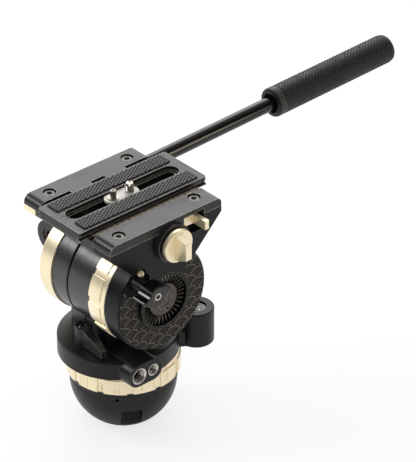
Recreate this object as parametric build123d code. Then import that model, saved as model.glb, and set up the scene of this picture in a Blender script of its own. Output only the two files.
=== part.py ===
from build123d import *
import math
import os

# Fluid video head with a 75 mm half ball, two cheeks round a tilt drum, a sliding
# camera plate and a pan handle. Millimetres, +Z up, origin in the middle of the
# ball's flat base on the pan axis, lens towards -Y, handle towards +Y, near side +X.

# General clearances
play = 0.3
fit_gap = 0.05
slide_gap = 0.1
overrun = 1.0
edge_break = 0.5

# Half ball
ball_radius = 37.5
ball_centre_z = 32.5
band_height = 7.3
seam_z = 1.6
seam_width = 1.0
seam_depth = 0.5
notch_width = 14.8
notch_top_drop = 8.3
notch_wall = 27.5
notch_angle = -31
grub_radius = 1.4
grub_depth = 5
grub_rise = 1.4
grub_angle = -47
insert_radius = 8.5
insert_length = 14
thread_large_radius = 4.7625
thread_small_radius = 3.175
insert_chamfer = 0.8

# Pan bearing and drag
spindle_hub_radius = 14
spindle_shaft_radius = 9
spindle_stub_radius = 10
bushing_wall = 4
bushing_gap = 0.2
spindle_nut_radius = 12
spindle_nut_height = 3.8
spindle_top_space = 4.3
plate_thickness = 1.8
plate_count = 3
drag_bore_gap = 1.2

# Pan drag dial
dial_radius = 39.85
dial_height = 15.6
dial_land_rise = 0.7
dial_land_count = 12
dial_land_share = 0.78
dial_land_width_share = 0.72
skirt_radius = 35.2
skirt_wall = 3.2

# Pan housing
housing_height = 13.3
housing_back_radius = 39.4
housing_front_radius = 41.3
housing_front_shift = 5.2
housing_round = 1.2
level_x = 28.9
level_y = 41.6
level_radius = 12.6
level_rise = 13.7
level_hole_radius = 7.2
level_hole_depth = 9
level_round = 0.9
level_web = 9
vial_height = 4.5
vial_drop = 1.2
vial_wall = 0.2
cup_height = 2.6
boss_face_x = 44.4
boss_root_x = 18
boss_end_radius = 8.6
boss_large_y = -22.9
boss_small_y = -10.6
boss_z = 29.1
accessory_large_radius = 6.0
accessory_small_radius = 4.4
accessory_depth = 12

# Pan lock lever
lever_x = -3.3
lever_y = -32
lever_hub_radius = 6.2
lever_height = 14.6
lever_lift = 0.4
lever_reach = 25
lever_angle = -7
lever_root_width = 8
lever_tip_width = 4
lever_tip_height = 5.4
lever_root_height = 12.6
lever_foot = 0.9
lever_recess_radius = 4.6
lever_recess_depth = 2.6
screw_head_radius = 3.9
screw_head_height = 2.2
screw_shank_radius = 2.5
hex_socket = 3.6

# Tilt axis and drum
drum_lift = 6.5
drum_radius = 37.5
drum_near_x = 10.7
drum_groove_x = -13.0
drum_groove_width = 1.4
drum_groove_depth = 3.5
drum_far_x = -29.0
drum_wall = 4.2
drum_shell = 6.5
foot_half = 22
foot_inset = 0.6
axle_radius = 8
axle_hub_radius = 13
tilt_bush_wall = 3
spring_radius = 21
spring_wire = 2.8
spring_pitch = 3.7
spring_turns = 2

# Tilt drag dial
tilt_dial_proud = 0.9
tilt_dial_width = 15.7

# Cheeks
near_inner_x = 27.0
near_disc_x = 41.5
far_inner_x = -29.3
far_disc_x = -41.5
block_step = 3.4
rosette_ring_rise = 3.7
disc_proud = 1.0
disc_round = 1.0
flank_end = 4.1
ring_radius = 21
recess_radius = 19
recess_depth = 3
rosette_bore = 12.4
rosette_base = 2.6
tooth_count = 36
tooth_height = 1.6
tooth_width_share = 0.46
tooth_mesh_gap = 1.75
cap_radius = 12.0
cap_height = 4.8
cap_hole_radius = 1.3
cap_hole_circle = 9.2
cap_hole_depth = 1.6
cap_hole_count = 3
cap_hole_turn = 52

# Platform: deck, rails and rail screws
platform_front = -46.9
platform_back = 50.3
deck_rise = 57.2
deck_wall = 7.2
rail_height = 6.8
rail_rise = 3.7
rail_outer_x = 44.9
near_rail_x = 26.65
far_rail_x = -28.5
rail_front_round = 5.6
rail_back_round = 4.2
deck_gap = 0.1
deck_round = 3.9
far_block_x = -33.0
channel_depth = 1.2
channel_rib_x = -12.2
channel_rib_width = 2.2
channel_near_x = 20
channel_far_x = -27
near_screws = ((36.0, -32.1), (32.6, 36.6))
far_screws = ((-36.6, -31.6), (-36.6, 36.7))
counterbore_radius = 4.7
counterbore_depth = 4.6
rail_head_radius = 4.1
rail_head_height = 3.6
rail_shank_radius = 2.5
rail_shank_length = 14
rail_socket = 4

# Camera plate
plate_width = 43.3
plate_front = -53.5
plate_back = 57.5
plate_height = 6.6
plate_lip = 3.2
plate_foot_lip = 0.6
groove_depth = 2.0
plate_corner = 1.6
slot_half = 6.5
slot_front = -46.2
slot_back = 50.0
slot_depth = 3.0
neck_half = 4.2
channel_half = 7.5
head_channel = 2.6
pad_inner_x = 8.4
pad_outer_x = 19.8
pad_front = -47.6
pad_back = 51.7
pad_sink = 1.2
pad_proud = 1.2
pad_corner = 1.0
tab_reach_gap = 0.35
tab_lip = 1.5
tab_lip_height = 1.0
tab_starts = (-20.7, 9.2)
tab_length = 18

# Screw carrier, camera screw and video pin
carrier_thickness = 1.6
carrier_gap = 0.15
carrier_front = -12.7
carrier_back = 14.3
camera_screw_rise = 4.9
camera_head_radius = 6.6
camera_head_height = 2.1
camera_shank_radius = 2.7
screw_slot_width = 1.0
screw_slot_depth = 1.2
video_pin_radius = 2.2
video_flange_radius = 3.9
video_flange_height = 0.8
video_pin_rise = 4.7

# Plate clamp: jaw, knob, collar
jaw_inner_x = 22.1
jaw_outer_x = 24.7
jaw_height = 1.8
jaw_lip = 1.5
jaw_lip_height = 0.9
jaw_front = -44
jaw_back = 48
jaw_travel = 1.5
arm_width = 12
arm_inner_x = 22.6
arm_outer_x = 25.0
arm_drop = 4.2
lock_y = 5.6
lock_drop = 12.9
lock_stud_radius = 3
lock_neck_radius = 5.5
lock_disc_radius = 12.1
lock_disc_x = 49.6
lock_disc_width = 3.6
lock_wing_reach = 10.0
lock_wing_root = 7.1
lock_wing_tip = 5.1
lock_wing_root_half = 9.6
lock_wing_tip_half = 6.2
lock_round = 1.0
collar_radius = 14.0
collar_wall = 3.0
collar_height = 3.6

# Release lever
release_y = 20.8
release_drop = 5.5
release_pin_drop = 0.6
release_plate_x = 42.0
release_plate_wall = 2.2
release_width = 6.6
release_length = 10.1
release_tab_wall = 3.4
release_tab_reach = 14.7
release_pin_radius = 1.6
release_pin_length = 5
window_front = 17.1
window_back = 35.0
window_drop = 14.0
window_rise = 0.9
window_depth = 6.2
release_swing = 18

# Tilt lock knob and index pin
tilt_lock_y = -22.8
tilt_lock_z = 22.2
scallop_radius = 9.8
tilt_boss_radius = 5.3
tilt_boss_height = 10.8
tilt_hub_radius = 7.1
tilt_knob_face_x = 64.4
tilt_wing_start_x = 52.8
tilt_tip_y = 11.0
tilt_tip_z = 1.5
tilt_tip_radius = 1.1
tilt_shoulder_y = 4.4
tilt_shoulder_z = 1.2
tilt_shoulder_radius = 5.0
tilt_scoop_y = 12.0
tilt_scoop_z = -6.5
tilt_scoop_radius = 7.0
tilt_recess_radius = 4.4
tilt_recess_depth = 1.6
tilt_stud_radius = 3
tilt_stud_depth = 8
index_y = -20.6
index_z = 29.7
index_ball_radius = 2.4
index_stem_radius = 1.3
index_stem_length = 6
index_rise = 2.6
index_pocket_radius = 4.2

# Handle: bracket, clamp knob, rod and grip
bracket_disc_radius = 18.6
bracket_disc_wall = 3.4
bracket_outer_x = -52.0
barrel_x = -59.0
barrel_z = 8.1
barrel_radius = 12.0
barrel_front = -15.8
barrel_back = 15.0
barrel_recess_radius = 6.6
barrel_recess_depth = 0.9
barrel_bore_radius = 4.2
barrel_screw_drop = 2.4
rod_x = -58.5
rod_z = 29.5
rod_rise_angle = 1.86
rod_radius = 5.4
rod_front = -13.0
sleeve_radius = 9.4
sleeve_front = -15.0
sleeve_back = 26.0
sleeve_slit = 1.6
clamp_knob_radius = 8.3
clamp_knob_height = 6.4
clamp_bolt_radius = 4.0
clamp_bolt_reach = 7.0
clamp_bore_depth = 8.0
grip_radius = 11.0
grip_front = 190.5
grip_back = 306.2
grip_collar = 7.0
grip_round = 1.6
grip_cap_height = 2.6
grip_wall = 5.55
grip_mouth_radius = 7.3
grip_mouth_depth = 4.0
rod_back = 296.0

# Levels worked out from the values above, with Z from the base
ball_top = ball_centre_z + band_height
dial_bottom = ball_top + play
dial_top = dial_bottom + dial_height
housing_bottom = dial_top + play
housing_top = housing_bottom + housing_height
tilt_rise = housing_top + drum_lift + drum_radius - ball_centre_z
axis_z = ball_centre_z + tilt_rise
centre = ball_centre_z

# Radii worked out from the drum's
drum_cavity_radius = drum_radius - drum_shell
tilt_dial_radius = drum_radius + tilt_dial_proud
disc_radius = drum_radius + disc_proud

# Levels worked out from the values above, with Z from the ball's centre
deck_top = tilt_rise + deck_rise
deck_bottom = deck_top - deck_wall
rail_top = deck_top + rail_rise
rail_bottom = rail_top - rail_height
plate_top = deck_top + slide_gap + plate_height
lock_z = deck_top - lock_drop
arm_bottom = lock_z - arm_drop
release_z = deck_top - release_drop
window_bottom = deck_top - window_drop
window_top = deck_top + window_rise


def xcyl(radius, x0, x1, y=0.0, z=0.0):
    """Cylinder along X between two planes, its axis at y, z."""
    turned = Rotation(0, 90, 0) * Cylinder(radius, abs(x1 - x0))
    return Pos((x0 + x1) / 2, y, z) * turned


def ycyl(radius, y0, y1, x=0.0, z=0.0):
    """Cylinder along Y between two planes, its axis at x, z."""
    turned = Rotation(90, 0, 0) * Cylinder(radius, abs(y1 - y0))
    return Pos(x, (y0 + y1) / 2, z) * turned


def zcyl(radius, z0, z1, x=0.0, y=0.0):
    """Cylinder along Z between two planes, its axis at x, y."""
    return Pos(x, y, (z0 + z1) / 2) * Cylinder(radius, abs(z1 - z0))


def block(x0, x1, y0, y1, z0, z1):
    """Box between six planes."""
    middle = Pos((x0 + x1) / 2, (y0 + y1) / 2, (z0 + z1) / 2)
    return middle * Box(abs(x1 - x0), abs(y1 - y0), abs(z1 - z0))


def side_prism(points, x0, x1):
    """Prism along X over an outline given as y, z points."""
    outline = Polyline(*[(x0, y, z) for y, z in points], close=True)
    return extrude(make_face(outline), amount=x1 - x0, dir=(1, 0, 0))


def end_prism(points, y0, y1):
    """Prism along Y over an outline given as x, z points."""
    outline = Polyline(*[(x, y0, z) for x, z in points], close=True)
    return extrude(make_face(outline), amount=y1 - y0, dir=(0, 1, 0))


def stadium(x_half, y0, y1, z0, z1, x=0.0):
    """Upright bar along Y with round ends."""
    bar = block(x - x_half, x + x_half, y0 + x_half, y1 - x_half, z0, z1)
    for y in (y0 + x_half, y1 - x_half):
        bar += zcyl(x_half, z0, z1, x, y)
    return bar


def hexagon_socket(across, depth, top):
    """Hexagon pocket that goes down from a level, round the Z axis."""
    flat = RegularPolygon(across / 2, 6, major_radius=False)
    return Pos(0, 0, top - depth) * extrude(flat, amount=depth + overrun)


def socket_screw(head_radius, head_height, shank_radius, shank_length, across):
    """Socket screw round the Z axis, the top of its head at zero."""
    screw = zcyl(head_radius, -head_height, 0)
    screw = chamfer(screw.edges().group_by(Axis.Z)[-1], edge_break)
    screw += zcyl(shank_radius, -head_height - shank_length, -head_height)
    return screw - hexagon_socket(across, head_height / 2, 0)


def ring_lands(inner, outer, length, axial_share):
    """Raised lands round a dial's rim, round the Z axis from zero up."""
    lands = []
    pitch = 2 * math.pi / dial_land_count
    for index in range(dial_land_count):
        start = index * pitch
        stop = start + pitch * dial_land_share
        middle = (start + stop) / 2
        arc_out = ThreePointArc(*[(outer * math.cos(a), outer * math.sin(a)) for a in (start, middle, stop)])
        arc_in = ThreePointArc(*[(inner * math.cos(a), inner * math.sin(a)) for a in (start, middle, stop)])
        sides = [Line(arc_in @ 0, arc_out @ 0), Line(arc_in @ 1, arc_out @ 1)]
        land = extrude(make_face([arc_out, arc_in] + sides), amount=length * axial_share)
        lands.append(land)
    return lands


def half_ball():
    """Ball with a flat base, a straight band, a seam and the spanner notch."""
    depth = ball_centre_z
    ball = Pos(0, 0, ball_centre_z) * Sphere(ball_radius)
    ball &= zcyl(ball_radius + overrun, 0, ball_centre_z)
    ball += zcyl(ball_radius, ball_centre_z, ball_top)
    ball = chamfer(ball.edges().group_by(Axis.Z)[-1], edge_break)
    seam = zcyl(ball_radius + overrun, depth + seam_z - seam_width / 2, depth + seam_z + seam_width / 2)
    seam -= zcyl(ball_radius - seam_depth, depth, depth + band_height)
    ball -= seam
    notch = block(notch_wall, ball_radius + overrun, -notch_width / 2, notch_width / 2, 0, depth - notch_top_drop)
    ball -= Rotation(0, 0, notch_angle) * notch
    grub = xcyl(grub_radius, ball_radius - grub_depth, ball_radius + overrun, 0, depth + grub_rise)
    ball -= Rotation(0, 0, grub_angle) * grub
    ball -= zcyl(insert_radius, 0, insert_length)
    ball -= zcyl(spindle_stub_radius, insert_length, ball_top)
    return ball


def thread_bush(outer, bore, length):
    """Steel thread bush standing on zero round the Z axis."""
    return zcyl(outer, 0, length) - zcyl(bore, 0, length)


def chamfered_bush(outer, bore, length):
    """Thread bush with a chamfered mouth, mouth down."""
    bush = thread_bush(outer, bore, length)
    rim = bush.edges().filter_by(GeomType.CIRCLE).group_by(Axis.Z)[0].sort_by(SortBy.RADIUS)[0]
    return chamfer(rim, insert_chamfer)


def pan_spindle():
    """Post that the head turns on, pressed into the ball."""
    post = zcyl(spindle_stub_radius, insert_length, ball_top)
    post += zcyl(spindle_hub_radius, ball_top, housing_bottom - play)
    return post + zcyl(spindle_shaft_radius, housing_bottom - play, housing_top - spindle_top_space + play)


def plate_levels(low, high, count):
    """Starts of evenly spaced plates between two levels."""
    step = (high - low) / count
    return [low + step * (index + 1 / 2) - plate_thickness / 2 for index in range(count)]


def pan_plates(bore, outer, half_step):
    """Drag plates in the dial, either the fixed or the turning set."""
    pitch = (housing_bottom - ball_top) / plate_count / 2
    low = ball_top + (pitch if half_step else 0)
    plates = Compound(children=[])
    solids = []
    for z in plate_levels(low - pitch / 2, low - pitch / 2 + 2 * pitch * plate_count, plate_count):
        if z > ball_top + slide_gap and z + plate_thickness < housing_bottom - slide_gap:
            solids.append(zcyl(outer, z, z + plate_thickness) - zcyl(bore, z, z + plate_thickness))
    return Compound(children=solids)


def drag_dial(bore, outer, width):
    """Drag dial round the Z axis from zero up, with stepped lands."""
    ring = zcyl(outer - dial_land_rise, 0, width)
    ring = chamfer(ring.edges().filter_by(GeomType.CIRCLE), edge_break)
    for land in ring_lands(outer - 2 * dial_land_rise, outer, width, dial_land_width_share):
        ring += land
    return ring - zcyl(bore, 0, width)


def pan_housing():
    """Round casting over the drag dial with the level boss and accessory boss."""
    back = Circle(housing_back_radius)
    front = Pos(0, -housing_front_shift) * Circle(housing_front_radius)
    outline = make_hull((back + front).edges())
    body = Pos(0, 0, housing_bottom) * extrude(outline, amount=housing_height)
    body = fillet(body.edges().group_by(Axis.Z)[-1], housing_round)
    web_half = level_web
    turn = math.degrees(math.atan2(level_y, level_x))
    web = Rotation(0, 0, turn) * block(0, math.hypot(level_x, level_y), -web_half, web_half,
                                       housing_bottom, housing_top - housing_round)
    tower = zcyl(level_radius, housing_bottom + play, housing_top + level_rise, level_x, level_y)
    tower = fillet(tower.edges().group_by(Axis.Z)[-1] + tower.edges().group_by(Axis.Z)[0], level_round)
    body += web
    body += tower
    body += accessory_boss()
    skirt = zcyl(skirt_radius, dial_bottom + slide_gap, housing_bottom)
    body += skirt
    body -= zcyl(skirt_radius - skirt_wall, dial_bottom, housing_bottom)
    bush_radius = spindle_shaft_radius + bushing_wall
    body -= zcyl(bush_radius, housing_bottom, housing_top - spindle_top_space + 2 * play)
    hole_top = housing_top + level_rise
    body -= zcyl(level_hole_radius, hole_top - level_hole_depth, hole_top, level_x, level_y)
    body -= Pos(lever_x, lever_y, housing_top) * zcyl(screw_shank_radius + play, -housing_height / 2, 0)
    for y, radius in ((boss_large_y, accessory_large_radius), (boss_small_y, accessory_small_radius)):
        body -= xcyl(radius, boss_face_x - accessory_depth, boss_face_x, y, centre + boss_z)
    return body


def accessory_boss():
    """Long boss with round ends that faces the near side."""
    z = centre + boss_z
    boss = block(boss_root_x, boss_face_x, boss_large_y, boss_small_y, z - boss_end_radius, z + boss_end_radius)
    for y in (boss_large_y, boss_small_y):
        boss += xcyl(boss_end_radius, boss_root_x, boss_face_x, y, z)
    boss = chamfer(boss.edges().group_by(Axis.X)[-1], edge_break)
    return boss - zcyl(dial_radius + play, dial_bottom, housing_bottom)


def accessory_insert(radius, bore, y):
    """Steel insert in the accessory boss, its mouth towards +X."""
    bush = Rotation(0, -90, 0) * chamfered_bush(radius - fit_gap, bore, accessory_depth)
    return Pos(boss_face_x, y, centre + boss_z) * bush


def pan_bushing():
    """Bronze bush between the spindle and the housing."""
    outer = spindle_shaft_radius + bushing_wall
    top = housing_top - spindle_top_space - spindle_nut_height - bushing_gap
    return zcyl(outer, housing_bottom, top) - zcyl(spindle_shaft_radius + fit_gap, housing_bottom, top)


def spindle_nut():
    """Nut that holds the housing down on the spindle."""
    top = housing_top - spindle_top_space
    nut = Pos(0, 0, top - spindle_nut_height) * extrude(RegularPolygon(spindle_nut_radius, 6), amount=spindle_nut_height)
    return nut - zcyl(spindle_shaft_radius, top - spindle_nut_height, top)


def pan_lock_lever():
    """Hub with a tapering arm over the housing, swung about its screw."""
    base = housing_top + lever_lift
    hub = zcyl(lever_hub_radius, base, base + lever_height)
    hub = fillet(hub.edges().group_by(Axis.Z)[-1], edge_break)
    foot = base + lever_foot
    arm = end_prism([(0, foot), (lever_reach, foot), (lever_reach, foot + lever_tip_height),
                     (lever_hub_radius, base + lever_root_height), (0, base + lever_root_height)],
                    -lever_root_width / 2, lever_root_width / 2)
    plan = Polyline((0, -lever_root_width / 2, base), (lever_reach, -lever_tip_width / 2, base),
                    (lever_reach, lever_tip_width / 2, base), (0, lever_root_width / 2, base), close=True)
    arm &= extrude(make_face(plan), amount=lever_height, dir=(0, 0, 1))
    lever = hub + Rotation(0, 0, lever_angle) * arm
    lever -= zcyl(lever_recess_radius, base + lever_height - lever_recess_depth, base + lever_height)
    lever -= zcyl(screw_shank_radius + fit_gap, base, base + lever_height)
    return Pos(lever_x, lever_y, 0) * lever


def pan_lock_screw():
    """Socket screw through the lever's hub into the housing."""
    top = housing_top + lever_lift + lever_height - lever_recess_depth + screw_head_height
    length = top - screw_head_height - housing_top + housing_height / 2 - play
    screw = socket_screw(screw_head_radius, screw_head_height, screw_shank_radius, length, hex_socket)
    return Pos(lever_x, lever_y, top) * screw


def level_vial():
    """Round bubble vial in the level boss."""
    top = housing_top + level_rise - vial_drop
    vial = zcyl(level_hole_radius - vial_wall, top - vial_height, top, level_x, level_y)
    return fillet(vial.edges().group_by(Axis.Z)[-1], edge_break)


def level_cup():
    """Pale seat under the vial."""
    top = housing_top + level_rise - vial_drop - vial_height
    return zcyl(level_hole_radius - vial_wall, top - cup_height, top, level_x, level_y)


def drum_foot(x0, x1):
    """Foot of a drum half, down to the housing's flat top."""
    return block(x0, x1, -foot_half, foot_half, housing_top, axis_z - drum_radius / 2)


def tilt_drum_near():
    """Drum half with the tilt drag inside and a shoulder for the dial."""
    x0 = drum_groove_x + drum_groove_width / 2
    drum = xcyl(drum_radius, x0, drum_near_x, 0, axis_z)
    drum = chamfer(drum.edges().filter_by(GeomType.CIRCLE), edge_break)
    drum += drum_foot(x0, drum_near_x - foot_inset)
    shoulder_end = near_inner_x - play
    drum += xcyl(skirt_radius, drum_near_x, shoulder_end, 0, axis_z)
    drum -= xcyl(drum_cavity_radius, x0 + drum_wall, shoulder_end, 0, axis_z)
    return drum - xcyl(axle_radius + fit_gap + tilt_bush_wall, x0, x0 + drum_wall, 0, axis_z)


def tilt_drum_far():
    """Drum half that houses the counterbalance spring."""
    x1 = drum_groove_x - drum_groove_width / 2
    drum = xcyl(drum_radius, drum_far_x, x1, 0, axis_z)
    drum = chamfer(drum.edges().filter_by(GeomType.CIRCLE), edge_break)
    drum += drum_foot(drum_far_x + foot_inset, x1)
    drum += xcyl(drum_radius - drum_groove_depth, x1, x1 + drum_groove_width, 0, axis_z)
    drum -= xcyl(drum_cavity_radius, drum_far_x + drum_wall, x1 + drum_groove_width, 0, axis_z)
    return drum - xcyl(axle_radius + fit_gap + tilt_bush_wall, drum_far_x, drum_far_x + drum_wall, 0, axis_z)


def tilt_bushings():
    """Two bronze bushes that carry the tilt axle."""
    starts = (drum_groove_x + drum_groove_width / 2, drum_far_x)
    bushes = []
    for x in starts:
        bush = xcyl(axle_radius + tilt_bush_wall, x, x + drum_wall, 0, axis_z)
        bushes.append(bush - xcyl(axle_radius + fit_gap, x, x + drum_wall, 0, axis_z))
    return Compound(children=bushes)


def tilt_axle():
    """Axle from cheek to cheek with the hub that drives the drag plates."""
    floor = near_disc_x - recess_depth
    axle = xcyl(axle_radius, -floor, floor, 0, axis_z)
    hub_start = drum_groove_x + drum_groove_width / 2 + drum_wall + play
    axle += xcyl(axle_hub_radius, hub_start, near_inner_x, 0, axis_z)
    return axle - xcyl(clamp_bolt_radius + fit_gap, -floor, clamp_bore_depth - floor, 0, axis_z)


def tilt_plates(bore, outer, half_step):
    """Drag plates inside the near drum half, the fixed or the turning set."""
    low = drum_groove_x + drum_groove_width / 2 + drum_wall
    high = near_inner_x
    pitch = (high - low) / plate_count / 2
    solids = []
    for index in range(plate_count):
        x = low + pitch * (2 * index + (3 / 2 if half_step else 1 / 2))
        plate = xcyl(outer, x - plate_thickness / 2, x + plate_thickness / 2, 0, axis_z)
        solids.append(plate - xcyl(bore, x - plate_thickness / 2, x + plate_thickness / 2, 0, axis_z))
    return Compound(children=solids)


def counterbalance_spring():
    """Coil spring round the axle in the far drum half."""
    height = spring_pitch * spring_turns
    path = Helix(spring_pitch, height, spring_radius)
    wire = Plane(origin=path @ 0, z_dir=path % 0) * Circle(spring_wire / 2)
    coil = sweep(wire, path=path, is_frenet=True)
    x = (drum_far_x + drum_wall + drum_groove_x) / 2 - height / 2
    return Pos(x, 0, axis_z) * Rotation(0, 90, 0) * coil


def cheek(side, inner, disc_x, block_inner, screws):
    """Cheek plate: disc, flanked block, raised wedge and the ring round the rosette."""
    top = centre + rail_bottom
    low = rail_bottom - tilt_rise - flank_end
    floor = disc_x - side * recess_depth
    block_x = disc_x + side * block_step
    ring_x = disc_x + side * rosette_ring_rise
    outline = [(platform_front, top), (platform_front, axis_z + low), (platform_front + low, axis_z),
               (platform_back - low, axis_z), (platform_back, axis_z + low), (platform_back, top)]
    disc = xcyl(disc_radius, inner, disc_x, 0, axis_z)
    disc = fillet(disc.edges().filter_by(GeomType.CIRCLE).sort_by(Axis.X)[-1 if side > 0 else 0], disc_round)
    body = disc + side_prism(outline, min(block_inner, block_x), max(block_inner, block_x))
    body += xcyl(ring_radius, inner, ring_x, 0, axis_z)
    body -= xcyl(recess_radius, floor, ring_x, 0, axis_z)
    body -= xcyl(axle_radius, inner, floor, 0, axis_z)
    for x, y in screws:
        body -= zcyl(rail_shank_radius, top - rail_shank_length, top, x, y)
    return body


def near_cheek():
    """Cheek on the near side with the knob seats cut in."""
    body = cheek(1, near_inner_x, near_disc_x, near_inner_x, near_screws)
    block_x = near_disc_x + block_step
    knob_z = axis_z + tilt_lock_z
    scallop = xcyl(scallop_radius, near_disc_x, block_x, tilt_lock_y, knob_z)
    scallop += xcyl(index_pocket_radius, near_disc_x, block_x, index_y, axis_z + index_z)
    keep = xcyl(ring_radius, near_disc_x, block_x, 0, axis_z)
    body -= scallop - keep
    body -= xcyl(tilt_stud_radius + slide_gap, near_disc_x - tilt_stud_depth - play, near_disc_x, tilt_lock_y, knob_z)
    body -= xcyl(index_stem_radius, near_disc_x - index_stem_length / 2, near_disc_x, index_y, axis_z + index_z)
    body -= xcyl(lock_stud_radius + play, near_inner_x, block_x, lock_y, centre + lock_z)
    body -= release_window()
    pin_x = release_plate_x - release_plate_wall
    pin_z = centre + release_z - release_pin_drop
    body -= xcyl(release_pin_radius, pin_x - release_pin_length - play, pin_x, release_y, pin_z)
    return body


def release_window():
    """Pocket for the release lever, across the seam of cheek and rail."""
    block_x = near_disc_x + block_step
    return block(block_x - window_depth, block_x, window_front, window_back, centre + window_bottom,
                 centre + window_top)


def deck():
    """Deck between the cheeks that the camera plate slides on."""
    z0 = centre + deck_bottom
    z1 = centre + deck_top
    seam = centre + rail_bottom
    body = block(far_block_x, near_inner_x, platform_front, platform_back, z0, seam)
    body = fillet(body.edges().filter_by(Axis.Y).group_by(Axis.Z)[0].sort_by(Axis.X)[0], deck_round)
    body += block(far_rail_x + deck_gap, near_rail_x - deck_gap, platform_front, platform_back, seam, z1)
    rib0 = channel_rib_x - channel_rib_width / 2
    rib1 = channel_rib_x + channel_rib_width / 2
    for x0, x1 in ((channel_far_x, rib0), (rib1, channel_near_x)):
        body -= block(x0, x1, platform_front, platform_front + channel_near_x, z1 - channel_depth, z1)
    body -= block(arm_inner_x - play, near_inner_x, lock_y - arm_width / 2 - play,
                  lock_y + arm_width / 2 + play, z0, z1)
    return body


def rail(side, inner, screws):
    """Rail bar screwed on a cheek, its two ends rounded."""
    z0 = centre + rail_bottom
    z1 = centre + rail_top
    outer = side * rail_outer_x
    bar = block(min(inner, outer), max(inner, outer), platform_front, platform_back, z0, z1)
    ends = bar.edges().filter_by(Axis.X).group_by(Axis.Z)[-1].sort_by(Axis.Y)
    bar = fillet(ends[0], rail_front_round)
    ends = bar.edges().filter_by(Axis.X).group_by(Axis.Z)[-1].sort_by(Axis.Y)
    bar = fillet(ends[-1], rail_back_round)
    for x, y in screws:
        bar -= zcyl(counterbore_radius, z1 - counterbore_depth, z1, x, y)
        bar -= zcyl(rail_shank_radius + slide_gap, z0, z1, x, y)
    return bar


def near_rail():
    """Rail on the near side, with the release lever's window."""
    return rail(1, near_rail_x, near_screws) - release_window()


def far_rail():
    """Rail on the far side, with the two tabs that hook the camera plate."""
    bar = rail(-1, far_rail_x, far_screws)
    z0 = centre + deck_top + slide_gap
    side_x = -plate_width / 2 - tab_reach_gap
    middle = (centre + plate_top - plate_lip + groove_bottom()) / 2
    for y in tab_starts:
        tab = block(far_rail_x, side_x, y, y + tab_length, z0, centre + rail_top)
        tab += end_prism([(side_x, middle - tab_lip_height), (side_x + tab_lip, middle - tab_lip_height / 4),
                          (side_x + tab_lip, middle + tab_lip_height / 4), (side_x, middle + tab_lip_height)],
                         y, y + tab_length)
        bar += tab
    return bar


def rail_screws():
    """Four equal screws that hold the rails down."""
    top = centre + rail_top - counterbore_depth + rail_head_height
    length = rail_shank_length - overrun
    screws = []
    for x, y in near_screws + far_screws:
        screw = socket_screw(rail_head_radius, rail_head_height, rail_shank_radius, length, rail_socket)
        screws.append(Pos(x, y, top) * screw)
    return Compound(children=screws)


def plate_bottom():
    return centre + deck_top + slide_gap


def groove_bottom():
    return plate_bottom() + plate_foot_lip


def camera_plate():
    """Sliding plate with grooved sides, pad pockets and the long screw slot."""
    half = plate_width / 2
    top = centre + plate_top
    lip = top - plate_lip
    bottom = plate_bottom()
    foot = groove_bottom()
    middle = (lip + foot) / 2
    inner = half - groove_depth
    right = [(half, top), (half, lip), (inner, middle + groove_depth / 4), (inner, middle - groove_depth / 4),
             (half, foot), (half, bottom)]
    left = [(-x, z) for x, z in reversed(right)]
    plate = end_prism(right + left, plate_front, plate_back)
    plate = fillet(plate.edges().filter_by(Axis.Z).group_by(Axis.Z)[-1], plate_corner)
    plate -= stadium(slot_half, slot_front, slot_back, top - slot_depth, top)
    inset = slot_half - neck_half
    plate -= stadium(neck_half, slot_front + inset, slot_back - inset, bottom, top)
    spread = channel_half - slot_half
    plate -= stadium(channel_half, slot_front - spread, slot_back + spread, bottom, bottom + head_channel)
    for side in (-1, 1):
        plate -= pad(side, centre + plate_top - pad_sink, centre + plate_top)
    return plate


def pad(side, z0, z1):
    """Long pad block with rounded corners."""
    x0 = side * pad_inner_x
    x1 = side * pad_outer_x
    strip = block(min(x0, x1), max(x0, x1), pad_front, pad_back, z0, z1)
    return fillet(strip.edges().filter_by(Axis.Z), pad_corner)


def plate_pads():
    """Two rubber pads in the camera plate."""
    top = centre + plate_top
    return Compound(children=[pad(side, top - pad_sink, top + pad_proud) for side in (-1, 1)])


def screw_carrier():
    """Silver carrier that slides in the plate's slot."""
    z0 = centre + plate_top - slot_depth
    half = slot_half - carrier_gap
    carrier = stadium(half, carrier_front, carrier_back, z0, z0 + carrier_thickness)
    carrier -= zcyl(camera_shank_radius + fit_gap, z0, z0 + carrier_thickness, 0, camera_screw_y())
    return carrier - zcyl(video_pin_radius, z0, z0 + carrier_thickness, 0, video_pin_y())


def camera_screw_y():
    return carrier_back - slot_half + carrier_gap


def video_pin_y():
    return carrier_front + slot_half - carrier_gap


def camera_screw():
    """Camera screw with its head under the plate and a slotted tip."""
    base = plate_bottom() + fit_gap
    top = centre + plate_top + camera_screw_rise
    screw = zcyl(camera_head_radius, base, base + camera_head_height)
    screw += zcyl(camera_shank_radius, base + camera_head_height, centre + plate_top)
    screw += zcyl(thread_small_radius, centre + plate_top, top)
    screw = chamfer(screw.edges().group_by(Axis.Z)[-1], edge_break)
    slot = block(-camera_head_radius, camera_head_radius, -screw_slot_width / 2, screw_slot_width / 2,
                 top - screw_slot_depth, top)
    return Pos(0, camera_screw_y(), 0) * (screw - slot)


def video_pin():
    """Locating pin with a flange, pressed in the carrier."""
    base = centre + plate_top - slot_depth
    seat = base + carrier_thickness
    pin = zcyl(video_pin_radius, base, centre + plate_top + video_pin_rise)
    pin = fillet(pin.edges().group_by(Axis.Z)[-1], edge_break)
    pin += zcyl(video_flange_radius, seat, seat + video_flange_height)
    return Pos(0, video_pin_y(), 0) * pin


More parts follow.
